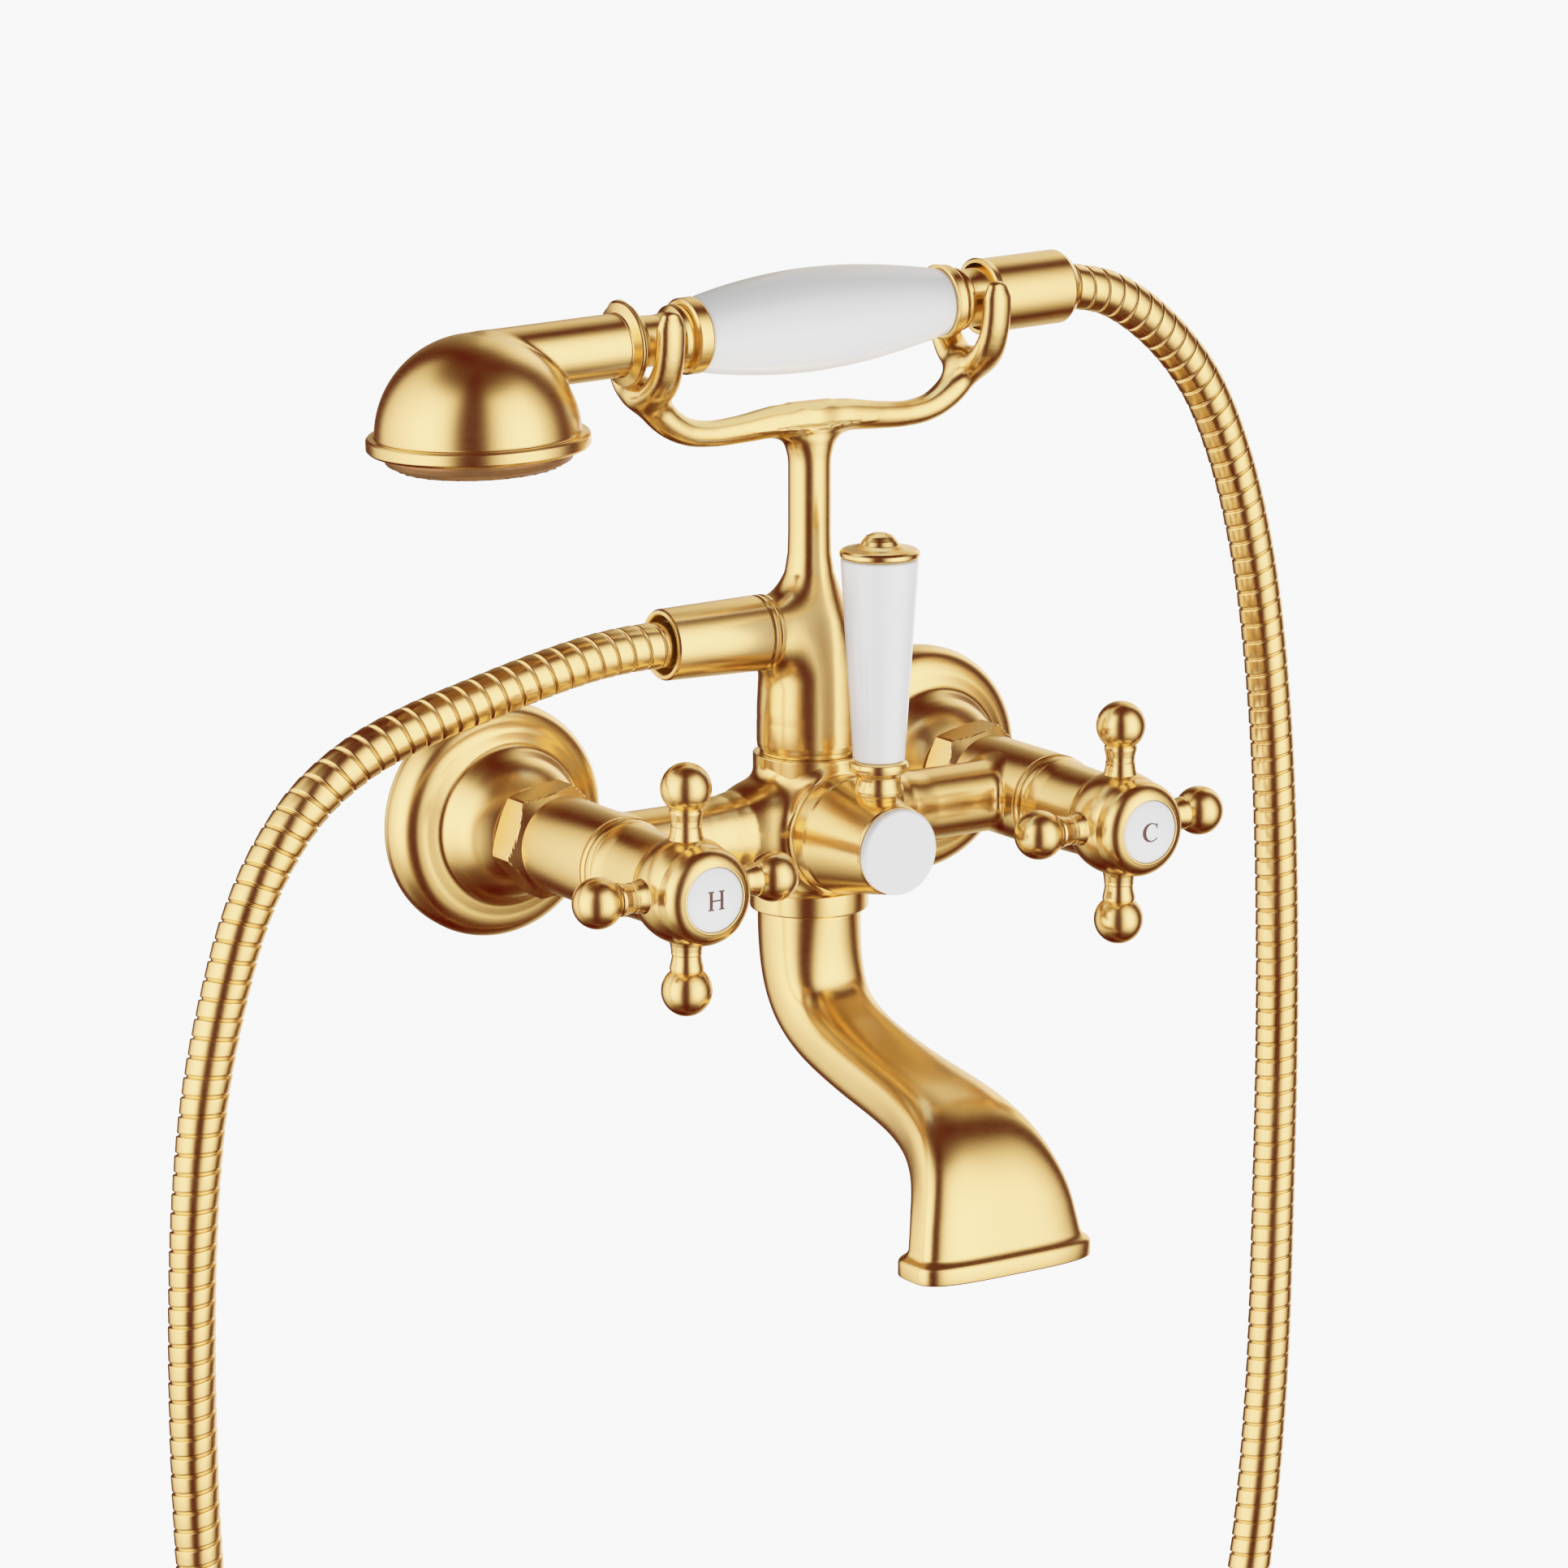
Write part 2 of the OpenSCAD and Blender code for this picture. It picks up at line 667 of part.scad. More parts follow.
module spray_face() {
    color(BRONZE) on_head() difference() {
        lathe([[0, -1.4], [26.8, -1.4], [26.8, -4.8], [26.2, -6.4], [22.5, -8.3], [14, -9.5], [0, -9.9]]);
        lathe([[0, -1], [24.6, -1], [24.6, -4], [20, -6.4], [12, -7.6], [0, -8]]);
        for (loop = [0:3]) for (i = [0:max(0, loop * 6 - 1)])
            rotate(i * 60 / max(1, loop)) translate([loop * 6.2, 0, -12]) cylinder(r = 0.6, h = 8, $fn = 16);
    }
}

module head_seal() {
    color(RUBBER) on_head() ring(26.7, 24.8, -1.4, 0.2);
}

module handset_neck() {
    color(GOLD) on_handset() difference() {
        lathe([[0, 20], [6.5, 20], [6.5, 30.1], [9.1, 30.1], [9.1, flange_at - 1.6], [10.4, flange_at - 1.3],
            [12, flange_at - 0.9], [12.1, flange_at], [11.8, flange_at + 0.8], [8.8, flange_at + 1.3],
            [8.1, flange_at + 2], [7.5, 52], [7.2, 58], [7.4, 62], [9.4, 63.4], [9.6, 64.6], [9.2, 66],
            [8.8, 66.2], [8.8, 66.6], [5, 66.6], [5, grip_end + 4.2], [0, grip_end + 4.2]]);
        rod(3.6, 15, grip_end + 5);
    }
}

module handle_ferrule_left() {
    color(GOLD) on_handset() lathe([[5.1, 66.6], [10.2, 66.6], [11, 67.2], [11, grip_at - 0.6], [10.7, grip_at],
        [5.1, grip_at]]);
}

module handset_handle() {
    bulge = (handle_d - 21.4) / 2;
    color(WHITE) on_handset() difference() {
        lathe(concat([[0, grip_at]],
            [for (i = [0:16]) let (t = i / 16)
                [10.5 - 0.8 * t + bulge * pow(sin(180 * pow(t, 0.94)), 0.9), grip_at + t * handle_len]],
            [[0, grip_end]]));
        rod(5.2, grip_at - 1, grip_end + 1);
    }
}

module handle_ferrule_right() {
    color(GOLD) on_handset() lathe([[5.1, grip_end], [10.2, grip_end], [10.6, grip_end + 0.5],
        [10.6, grip_end + 3.4], [10, grip_end + 4.2], [5.1, grip_end + 4.2]]);
}

module handset_tail() {
    color(GOLD) on_handset() difference() {
        lathe([[0, grip_end + 4.2], [9.2, grip_end + 4.2], [9.2, grip_end + 7], [8.5, grip_end + 7.6],
            [8.5, thread_at], [9.85, thread_at + 0.4], [9.85, thread_end], [0, thread_end]]);
        rod(5, grip_end + 3, thread_end + 1);
    }
}

module upper_hose_nut() {
    color(GOLD) on_handset() lathe([[9.9, nut_at], [10.7, nut_at], [11.1, nut_at + 0.5], [11.1, nut_at + 1.6],
        [10.9, nut_at + 2.4], [10.9, tail_end - 2.2], [9, tail_end], [7, tail_end], [7, 190.7], [9.9, 190.7]]);
}

// ---------------------------------------------------------------- assembly

on_wall(-1) wall_flange();  // wall_flange_hot
on_wall(1) wall_flange();  // wall_flange_cold
on_wall(-1) inlet_union();  // inlet_union_hot
on_wall(1) inlet_union();  // inlet_union_cold
on_valve(-1) union_nut();  // union_nut_hot
on_valve(1) union_nut();  // union_nut_cold
inlet_washers();
mixer_body();
on_valve(-1) headwork();  // hot_headwork
on_valve(1) headwork();  // cold_headwork
headwork_seals();
on_valve(-1) fixed_disc();  // hot_fixed_disc
on_valve(1) fixed_disc();  // cold_fixed_disc
on_valve(-1) bonnet();  // hot_bonnet
on_valve(1) bonnet();  // cold_bonnet
diverter_cartridge();
spout();
spout_o_rings();
flow_straightener();
grub_screws();
shower_riser();
riser_o_rings();
lower_hose_nut();
on_outlet() hose_washer(0);  // lower_hose_washer
on_outlet() hose_tail(2, 15);  // lower_hose_tail
shower_hose();
on_valve(-1) cross_handle();  // hot_handle
on_valve(-1) index_disc();  // hot_index_disc
on_valve(-1) handle_screw();  // hot_handle_screw
on_valve(-1) spindle();  // hot_spindle
on_valve(-1) moving_disc();  // hot_moving_disc
on_valve(1) cross_handle();  // cold_handle
on_valve(1) index_disc();  // cold_index_disc
on_valve(1) handle_screw();  // cold_handle_screw
on_valve(1) spindle();  // cold_spindle
on_valve(1) moving_disc();  // cold_moving_disc
diverter_knob();
diverter_lever_stem();
diverter_lever_grip();
diverter_lever_finial();
diverter_button();
diverter_screw();
diverter_rotor();
head_shell();
spray_face();
head_seal();
handset_neck();
handle_ferrule_left();
handset_handle();
handle_ferrule_right();
handset_tail();
upper_hose_nut();
on_handset() hose_washer(thread_end);  // upper_hose_washer
on_handset() hose_tail(thread_end + 2, tail_end - thread_end - 4);  // upper_hose_tail
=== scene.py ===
"""Looks of a wall mounted bath and shower mixer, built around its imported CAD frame.

Metres, +Z up, the wall at Y = 0 and -Y out of it, but shapes are written in millimetres.  The camera
comes first, then helpers, finishes, the hose, the smooth castings, the spout, the turned parts, the
letters on the index discs and the studio."""

import json
import math

import bmesh
import bpy
import numpy as np
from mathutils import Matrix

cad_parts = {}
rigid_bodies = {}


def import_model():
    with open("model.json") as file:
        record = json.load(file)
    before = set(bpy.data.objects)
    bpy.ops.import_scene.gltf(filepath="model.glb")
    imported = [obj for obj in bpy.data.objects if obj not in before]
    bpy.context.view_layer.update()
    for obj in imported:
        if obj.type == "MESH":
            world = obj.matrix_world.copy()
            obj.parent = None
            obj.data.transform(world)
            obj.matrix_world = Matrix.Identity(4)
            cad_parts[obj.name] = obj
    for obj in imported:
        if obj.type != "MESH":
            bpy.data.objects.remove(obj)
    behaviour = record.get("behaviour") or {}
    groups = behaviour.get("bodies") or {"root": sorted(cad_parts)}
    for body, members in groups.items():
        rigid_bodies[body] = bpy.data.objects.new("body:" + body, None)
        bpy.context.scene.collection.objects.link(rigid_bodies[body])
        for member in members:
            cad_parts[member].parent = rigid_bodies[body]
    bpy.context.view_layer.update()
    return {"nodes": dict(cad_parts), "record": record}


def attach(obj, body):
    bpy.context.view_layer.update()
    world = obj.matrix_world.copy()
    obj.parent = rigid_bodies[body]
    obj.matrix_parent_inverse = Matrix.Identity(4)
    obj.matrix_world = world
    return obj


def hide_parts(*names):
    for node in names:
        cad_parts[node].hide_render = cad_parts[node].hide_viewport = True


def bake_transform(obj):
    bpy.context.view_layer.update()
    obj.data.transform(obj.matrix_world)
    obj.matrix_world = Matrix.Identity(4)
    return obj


for stale in list(bpy.data.objects):
    bpy.data.objects.remove(stale)

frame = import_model()
scene = bpy.context.scene
MM = 0.001

# Stations shared with the CAD, in millimetres
BODY_Y = -58.0  # the plane of the riser, the handset and the hose
VALVE_X = 75.0  # each valve's axis, either side of the middle
DATUM_Y = -3.0  # where the heights along a valve are counted from
OUTLET_Z = 58.2  # the hose outlet on the riser
FORK_X = 55.9  # each fork of the cradle
LEVER_Y = -94.0  # the diverter's lever
HANDSET_AT = (-110.5, BODY_Y, 144.1)  # the handset's axis, over the middle of the head
HANDSET_TILT = math.radians(1.95)
DOME_AT = (-110.5, BODY_Y, 123.8)  # the centre of the head's dome
DOME_R = 29.0

# Material slots of the record that more than one piece uses
GOLD_SLOT = "brushed_gold"
WHITE_SLOT = "white_porcelain"


# ---------------------------------------------------------------- camera
CAMERA_AT = (-0.9276, -1.4513, 0.3892)
CAMERA_YAW = -33.402  # degrees
CAMERA_PITCH = 12.725  # degrees below the horizon
CAMERA_LENS = 134.96  # mm, on a 36 mm sensor


def make_camera():
    data = bpy.data.cameras.new("camera")
    data.sensor_width = 36.0
    data.lens = CAMERA_LENS
    data.clip_start, data.clip_end = 0.05, 60.0
    cam = bpy.data.objects.new("camera", data)
    scene.collection.objects.link(cam)
    cam.location = CAMERA_AT
    cam.rotation_euler = (math.radians(90 - CAMERA_PITCH), 0, math.radians(CAMERA_YAW))
    scene.camera = cam


make_camera()


# ---------------------------------------------------------------- mesh helpers
def add_mesh(name, verts, faces, body, slot, material, replaces=(), smooth=True):
    """A new piece in the frame, from verts in millimetres."""
    mesh = bpy.data.meshes.new(name)
    mesh.from_pydata((np.asarray(verts, float) * MM).tolist(), [], [tuple(f) for f in faces])
    mesh.validate()
    mesh.polygons.foreach_set("use_smooth", [smooth] * len(mesh.polygons))
    mesh.update()
    obj = bpy.data.objects.new(name, mesh)
    scene.collection.objects.link(obj)
    obj.data.materials.append(material)
    if replaces:
        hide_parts(*replaces)
    if body:
        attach(obj, body)
    return obj


def unit(v):
    v = np.asarray(v, float)
    return v / np.linalg.norm(v, axis=-1, keepdims=True)


def smooth_line(points, step):
    """A Catmull-Rom line through points, in pieces of about step."""
    p = np.asarray(points, float)
    p = np.vstack([2 * p[0] - p[1], p, 2 * p[-1] - p[-2]])
    out = []
    for i in range(1, len(p) - 2):
        n = max(2, int(math.ceil(np.linalg.norm(p[i + 1] - p[i]) / step)))
        t = (np.arange(n) / n)[:, None]
        # centripetal knots keep the line free of loops where the points are unevenly spaced
        k = [0.0]
        for a, b in ((0, 1), (1, 2), (2, 3)):
            k.append(k[-1] + max(1e-6, np.linalg.norm(p[i - 1 + b] - p[i - 1 + a])) ** 0.5)
        u = k[1] + t * (k[2] - k[1])
        q = [p[i - 1 + j] for j in range(4)]
        a1 = (k[1] - u) / (k[1] - k[0]) * q[0] + (u - k[0]) / (k[1] - k[0]) * q[1]
        a2 = (k[2] - u) / (k[2] - k[1]) * q[1] + (u - k[1]) / (k[2] - k[1]) * q[2]
        a3 = (k[3] - u) / (k[3] - k[2]) * q[2] + (u - k[2]) / (k[3] - k[2]) * q[3]
        b1 = (k[2] - u) / (k[2] - k[0]) * a1 + (u - k[0]) / (k[2] - k[0]) * a2
        b2 = (k[3] - u) / (k[3] - k[1]) * a2 + (u - k[1]) / (k[3] - k[1]) * a3
        out.append((k[2] - u) / (k[2] - k[1]) * b1 + (u - k[1]) / (k[2] - k[1]) * b2)
    out.append(p[-2][None])
    return np.vstack(out)


def lathe(profile, sides=96):
    """Verts and faces of a profile of (radius, height) turned about +Z."""
    profile = [(max(r, 0.0), z) for r, z in profile]
    ang = np.arange(sides) * 2 * math.pi / sides
    verts, faces, rows = [], [], []
    for r, z in profile:
        if r < 1e-6:
            rows.append([len(verts)] * sides)
            verts.append((0.0, 0.0, z))
        else:
            rows.append(list(range(len(verts), len(verts) + sides)))
            verts += [(r * math.cos(a), r * math.sin(a), z) for a in ang]
    for low, high in zip(rows, rows[1:]):
        for j in range(sides):
            k = (j + 1) % sides
            f = []
            for v in (low[j], low[k], high[k], high[j]):
                if v not in f:
                    f.append(v)
            if len(f) > 2:
                faces.append(f)
    return np.array(verts), faces


def rounded(points):
    """Rounds the corners of a profile.  Each point is (r, z) or (r, z, corner radius)."""
    out = []
    for i, p in enumerate(points):
        c = np.array(p[:2], float)
        rad = p[2] if len(p) > 2 else 0.0
        if rad <= 0 or i in (0, len(points) - 1):
            out.append(tuple(c))
            continue
        a, b = np.array(points[i - 1][:2], float), np.array(points[i + 1][:2], float)
        u, v = a - c, b - c
        lu, lv = np.linalg.norm(u), np.linalg.norm(v)
        u, v = u / lu, v / lv
        half = math.acos(max(-1, min(1, float(u @ v)))) / 2
        if abs(math.pi / 2 - half) < 0.02:
            out.append(tuple(c))
            continue
        back = min(rad / math.tan(half), 0.49 * lu, 0.49 * lv)
        steps = 5
        for s in range(steps + 1):
            t = s / steps
            q = (1 - t) ** 2 * (c + u * back) + 2 * t * (1 - t) * c + t * t * (c + v * back)
            out.append(tuple(q))
    return out


def join(parts):
    """One vert and face list from several."""
    verts, faces, base = [], [], 0
    for v, f in parts:
        verts.append(np.asarray(v, float))
        faces += [[i + base for i in face] for face in f]
        base += len(v)
    return np.vstack(verts), faces


def placed(part, axis="z", at=(0, 0, 0), tilt=0.0):
    """Turns a part made along +Z to another axis and moves it."""
    v, f = part
    v = np.asarray(v, float)
    if axis == "-y":
        v = np.stack([v[:, 0], -v[:, 2], v[:, 1]], 1)
    elif axis == "x":
        v = np.stack([v[:, 2], v[:, 1], -v[:, 0]], 1)
    elif axis == "-x":
        v = np.stack([-v[:, 2], v[:, 1], v[:, 0]], 1)
    if tilt:
        c, s = math.cos(tilt), math.sin(tilt)
        v = np.stack([v[:, 0] * c - v[:, 2] * s, v[:, 1], v[:, 0] * s + v[:, 2] * c], 1)
    return v + np.array(at, float), f


# ---------------------------------------------------------------- finishes
class Nodes:
    """Shorthands for building a node tree."""

    def __init__(self, tree):
        self.tree = tree
        tree.nodes.clear()

    def add(self, kind, inputs=None, **settings):
        node = self.tree.nodes.new(kind)
        for key, value in settings.items():
            setattr(node, key, value)
        for key, value in (inputs or {}).items():
            if isinstance(value, bpy.types.NodeSocket):
                self.tree.links.new(value, node.inputs[key])
            else:
                node.inputs[key].default_value = value
        return node

    def math(self, operation, a, b=0.0, clamp=False):
        node = self.add("ShaderNodeMath", {0: a, 1: b}, operation=operation, use_clamp=clamp)
        return node.outputs[0]

    def remap(self, value, a, b, c, d):
        node = self.add("ShaderNodeMapRange",
                        {"Value": value, "From Min": a, "From Max": b, "To Min": c, "To Max": d})
        return node.outputs["Result"]

    def mix(self, factor, a, b):
        node = self.add("ShaderNodeMix", data_type="RGBA")
        for key, value in ((0, factor), (6, a), (7, b)):
            if isinstance(value, bpy.types.NodeSocket):
                self.tree.links.new(value, node.inputs[key])
            else:
                node.inputs[key].default_value = value
        return node.outputs[2]

    def noise(self, vector, scale, detail=3.0, rough=0.5):
        node = self.add("ShaderNodeTexNoise", {"Vector": vector, "Scale": scale, "Detail": detail,
                                               "Roughness": rough})
        return node.outputs["Fac"]

    def stretched(self, scale):
        at = self.add("ShaderNodeTexCoord").outputs["Object"]
        return self.add("ShaderNodeMapping", {"Vector": at, "Scale": scale}).outputs["Vector"]


def rgba(r, g, b):
    return (r, g, b, 1.0)


def finish(name, build):
    """A material whose Principled node is set up by build(nodes, principled)."""
    material = bpy.data.materials.new(name)
    material.use_nodes = True
    nodes = Nodes(material.node_tree)
    out = nodes.add("ShaderNodeOutputMaterial")
    shader = nodes.add("ShaderNodeBsdfPrincipled")
    material.node_tree.links.new(shader.outputs[0], out.inputs[0])
    build(nodes, shader)
    return material


STREAK_DEPTH = 0.000012  # metres


def metal(name, colour, deep, rough, streak, coarse=26.0):
    """A brushed metal.  streak is the scale of the brushing along each axis, per metre."""
    def build(n, s):
        s.inputs["Metallic"].default_value = 1.0
        at = n.stretched((1, 1, 1))
        clouds = n.noise(at, coarse, 4.0, 0.55)
        grain = n.noise(n.stretched(streak), 1.0, 4.0, 0.6)
        fine = n.noise(n.stretched(tuple(v * 2.7 for v in streak)), 1.0, 2.0, 0.5)
        both = n.math("ADD", n.math("MULTIPLY", grain, 0.6), n.math("MULTIPLY", fine, 0.4))
        tone = n.math("ADD", n.math("MULTIPLY", clouds, 0.55), n.math("MULTIPLY", both, 0.45))
        colour_mix = n.mix(n.remap(tone, 0.3, 0.7, 0.0, 1.0), rgba(*deep), rgba(*colour))
        n.tree.links.new(colour_mix, s.inputs["Base Color"])
        wear = n.math("ADD", n.math("MULTIPLY", clouds, 0.5), n.math("MULTIPLY", both, 0.5))
        n.tree.links.new(n.remap(wear, 0.3, 0.7, rough - 0.035, rough + 0.045), s.inputs["Roughness"])
        bump = n.add("ShaderNodeBump", {"Height": both, "Strength": 1.0, "Distance": STREAK_DEPTH})
        n.tree.links.new(bump.outputs[0], s.inputs["Normal"])
    return finish(name, build)


GOLD = (0.92, 0.69, 0.31)
GOLD_DEEP = (0.90, 0.655, 0.275)
GOLD_ROUGH = 0.225
gold_x = metal("brushed_gold_x", GOLD, GOLD_DEEP, GOLD_ROUGH, (2600, 70, 70))
gold_y = metal("brushed_gold_y", GOLD, GOLD_DEEP, GOLD_ROUGH, (70, 2600, 70))
gold_z = metal("brushed_gold_z", GOLD, GOLD_DEEP, GOLD_ROUGH, (70, 70, 2600))
gold_cast = metal("brushed_gold_cast", GOLD, GOLD_DEEP, GOLD_ROUGH, (420, 900, 900), 30.0)
brass = metal("raw_brass", (0.80, 0.62, 0.34), (0.70, 0.51, 0.25), 0.38, (300, 1500, 300))
steel = metal("stainless_steel", (0.62, 0.60, 0.57), (0.52, 0.50, 0.47), 0.3, (400, 1500, 400))


def build_porcelain(n, s):
    """Glazed porcelain: faint clouds, fine specks and a gentle ripple under a clear coat."""
    at = n.stretched((1, 1, 1))
    clouds = n.noise(at, 18.0, 4.0, 0.55)
    ripple = n.noise(at, 95.0, 2.0, 0.5)
    specks = n.noise(at, 900.0, 2.0, 0.5)
    glaze = n.mix(n.remap(clouds, 0.3, 0.7, 0.0, 1.0), rgba(0.80, 0.80, 0.805), rgba(0.845, 0.845, 0.845))
    spotted = n.mix(n.remap(specks, 0.70, 0.80, 0.0, 0.35), glaze, rgba(0.66, 0.65, 0.62))
    n.tree.links.new(spotted, s.inputs["Base Color"])
    n.tree.links.new(n.remap(clouds, 0.3, 0.7, 0.10, 0.17), s.inputs["Roughness"])
    s.inputs["Coat Weight"].default_value = 0.35
    s.inputs["Coat Roughness"].default_value = 0.06
    bump = n.add("ShaderNodeBump", {"Height": ripple, "Strength": 1.0, "Distance": 0.00002})
    n.tree.links.new(bump.outputs[0], s.inputs["Normal"])


def build_bronze(n, s):
    """Dark bronze with a fine grain."""
    at = n.stretched((1, 1, 1))
    clouds = n.noise(at, 60.0, 4.0, 0.6)
    grain = n.noise(at, 1400.0, 2.0, 0.5)
    tone = n.mix(n.remap(clouds, 0.3, 0.7, 0.0, 1.0), rgba(0.24, 0.115, 0.04), rgba(0.33, 0.17, 0.065))
    n.tree.links.new(tone, s.inputs["Base Color"])
    n.tree.links.new(n.remap(grain, 0.3, 0.7, 0.34, 0.46), s.inputs["Roughness"])
    s.inputs["Metallic"].default_value = 0.75
    bump = n.add("ShaderNodeBump", {"Height": grain, "Strength": 1.0, "Distance": 0.00002})
    n.tree.links.new(bump.outputs[0], s.inputs["Normal"])


def soft_finish(low, high, rough, grain_scale, depth):
    """The build step of a plain material between two tones, with a grain of its own."""
    def build(n, s):
        at = n.stretched((1, 1, 1))
        clouds = n.noise(at, 40.0, 3.0, 0.55)
        grain = n.noise(at, grain_scale, 3.0, 0.55)
        n.tree.links.new(n.mix(n.remap(clouds, 0.3, 0.7, 0.0, 1.0), rgba(*low), rgba(*high)),
                         s.inputs["Base Color"])
        n.tree.links.new(n.remap(grain, 0.3, 0.7, rough - 0.05, rough + 0.05), s.inputs["Roughness"])
        bump = n.add("ShaderNodeBump", {"Height": grain, "Strength": 1.0, "Distance": depth})
        n.tree.links.new(bump.outputs[0], s.inputs["Normal"])
    return build


porcelain = finish("white_porcelain", build_porcelain)
bronze = finish("bronze_face", build_bronze)
rubber = finish("seal_rubber", soft_finish((0.018, 0.018, 0.018), (0.035, 0.034, 0.033), 0.62, 900.0, 0.00003))
ceramic = finish("valve_ceramic", soft_finish((0.74, 0.73, 0.70), (0.82, 0.81, 0.78), 0.3, 1500.0, 0.00001))
plastic = finish("white_plastic", soft_finish((0.66, 0.66, 0.65), (0.74, 0.74, 0.73), 0.42, 1200.0, 0.00002))
enamel = finish("letter_enamel", soft_finish((0.055, 0.016, 0.008), (0.085, 0.03, 0.014), 0.3, 1500.0, 0.00001))

SLOT_FINISH = {"raw_brass": brass, "stainless_steel": steel, "seal_rubber": rubber,
               "valve_ceramic": ceramic, "white_porcelain": porcelain, "bronze_face": bronze,
               "white_plastic": plastic}
ALONG_X = ("lower_hose_nut", "handset_neck", "handle_ferrule_left", "handle_ferrule_right",
           "handset_tail", "upper_hose_nut")
ALONG_Z = ("diverter_lever_stem", "diverter_lever_finial", "head_shell", "spout")


def gold_for(node):
    """The gold whose brushing follows the node's own axis."""
    if node in ALONG_X:
        return gold_x
    if node in ALONG_Z:
        return gold_z
    return gold_cast if node in ("mixer_body", "shower_riser", "shower_hose") else gold_y


slot_of = {part["node"]: part["material_slot"] for part in frame["record"]["subparts"]}
for node, obj in frame["nodes"].items():
    slot = slot_of[node]
    look = SLOT_FINISH.get(slot) or gold_for(node)
    obj.data.materials.clear()
    obj.data.materials.append(look)
    for polygon in obj.data.polygons:
        polygon.material_index = 0


# ---------------------------------------------------------------- hose
HOSE_PITCH = 5.4  # about how far the band climbs in one turn
HOSE_SIDES = 28
# The band's section as (share of the pitch, radius): groove, raised lip, flat band, rolled edge
HOSE_BAND = [(0.0, 5.95), (0.035, 6.45), (0.075, 6.72), (0.13, 6.75), (0.45, 6.66), (0.78, 6.62),
             (0.86, 6.56), (0.895, 6.4), (0.925, 5.95)]
# Its route in X and Z, from the lower nut round the hanging loop to the upper nut
HOSE_ROUTE = [
    (-49, 58.2), (-60, 58.2), (-74, 57), (-93, 53.5), (-113, 48.8), (-133, 43.6), (-151, 36.6),
    (-166, 26.4), (-178, 12), (-187, -5), (-194, -26), (-200, -51), (-204, -82), (-206, -120),
    (-206, -167), (-203.5, -217), (-198.5, -268), (-189, -320), (-173, -369), (-149, -413),
    (-115, -449), (-68, -474), (-16, -482), (36, -474), (82, -449), (116, -413), (140, -369),
    (157, -318), (168, -265), (173.5, -207), (175, -141), (175, -75), (172.5, -15), (168, 30),
    (162, 64), (153, 94), (141, 118), (125, 135.5), (107, 147), (90.1, 150.95)]


def make_hose():
    """A strip wound metal hose: one helical band whose overlaps leave a narrow groove."""
    line = smooth_line([(x, BODY_Y, z) for x, z in HOSE_ROUTE], 1.0)
    run = np.concatenate([[0], np.cumsum(np.linalg.norm(np.diff(line, axis=0), axis=1))])
    total = run[-1]
    sides, per = HOSE_SIDES, len(HOSE_BAND)
    turns = int(total // HOSE_PITCH)
    pitch = total / turns
    cells = np.array([((turn + share) * pitch, radius) for turn in range(-1, turns + 1)
                      for share, radius in HOSE_BAND])
    ang = np.arange(sides) / sides
    station = np.clip(cells[:, 0][:, None] + pitch * ang[None, :], 0.0, total)
    centre = np.stack([np.interp(station, run, line[:, k]) for k in range(3)], -1)
    ahead = unit(np.stack([np.interp(np.clip(station + 1.2, 0, total), run, line[:, k]) -
                           np.interp(np.clip(station - 1.2, 0, total), run, line[:, k])
                           for k in range(3)], -1))
    across = np.array([0.0, 1.0, 0.0])
    normal = np.cross(across, ahead)
    theta = 2 * math.pi * ang[None, :, None]
    radius = cells[:, 1][:, None, None]
    verts = centre + radius * (np.cos(theta) * normal + np.sin(theta) * across)
    rows = len(cells)
    faces = []
    for i in range(rows - 1):
        for j in range(sides - 1):
            a = i * sides + j
            faces.append((a, a + 1, a + sides + 1, a + sides))
    for i in range(rows - 1 - per):
        a = i * sides + sides - 1
        b = (i + per) * sides
        faces.append((a, b, b + sides, a + sides))
    hose = add_mesh("hose", verts.reshape(-1, 3), faces, None, GOLD_SLOT, gold_cast, ("shower_hose",))
    tidy(hose)
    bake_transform(hose)


def tidy(obj):
    """Drops the flat faces that clipping leaves and makes the normals agree."""
    bm = bmesh.new()
    bm.from_mesh(obj.data)
    bmesh.ops.remove_doubles(bm, verts=bm.verts, dist=1e-7)
    bmesh.ops.dissolve_degenerate(bm, dist=1e-7, edges=bm.edges)
    bmesh.ops.recalc_face_normals(bm, faces=bm.faces)
    for face in bm.faces:
        face.smooth = True
    bm.to_mesh(obj.data)
    bm.free()


make_hose()


# ---------------------------------------------------------------- smooth castings
def smin(a, b, k):
    """The lower of two fields, blended where they differ by less than k."""
    h = np.maximum(k - np.abs(a - b), 0.0) / k
    return np.minimum(a, b) - h * h * k * 0.25


def rod_field(p, a, b, r):
    """Distance to a flat ended rod from a to b."""
    a, b = np.array(a, float), np.array(b, float)
    length = np.linalg.norm(b - a)
    d = (b - a) / length
    along = (p - a) @ d
    radial = np.linalg.norm(p - a - along[:, None] * d, axis=1) - r
    ends = np.maximum(-along, along - length)
    inside = np.minimum(np.maximum(radial, ends), 0.0)
    return inside + np.hypot(np.maximum(radial, 0.0), np.maximum(ends, 0.0))


def turned_field(p, axis_at, profile):
    """Near distance to a solid turned about a vertical axis, from its (z, radius) profile."""
    z = p[:, 2]
    zs, rs = np.array(profile, float).T
    r = np.interp(z, zs, rs)
    slope = (np.interp(z + 0.5, zs, rs) - np.interp(z - 0.5, zs, rs))
    radial = (np.hypot(p[:, 0] - axis_at[0], p[:, 1] - axis_at[1]) - r) / np.sqrt(1 + slope ** 2)
    ends = np.maximum(zs[0] - z, z - zs[-1])
    return np.maximum(radial, ends)


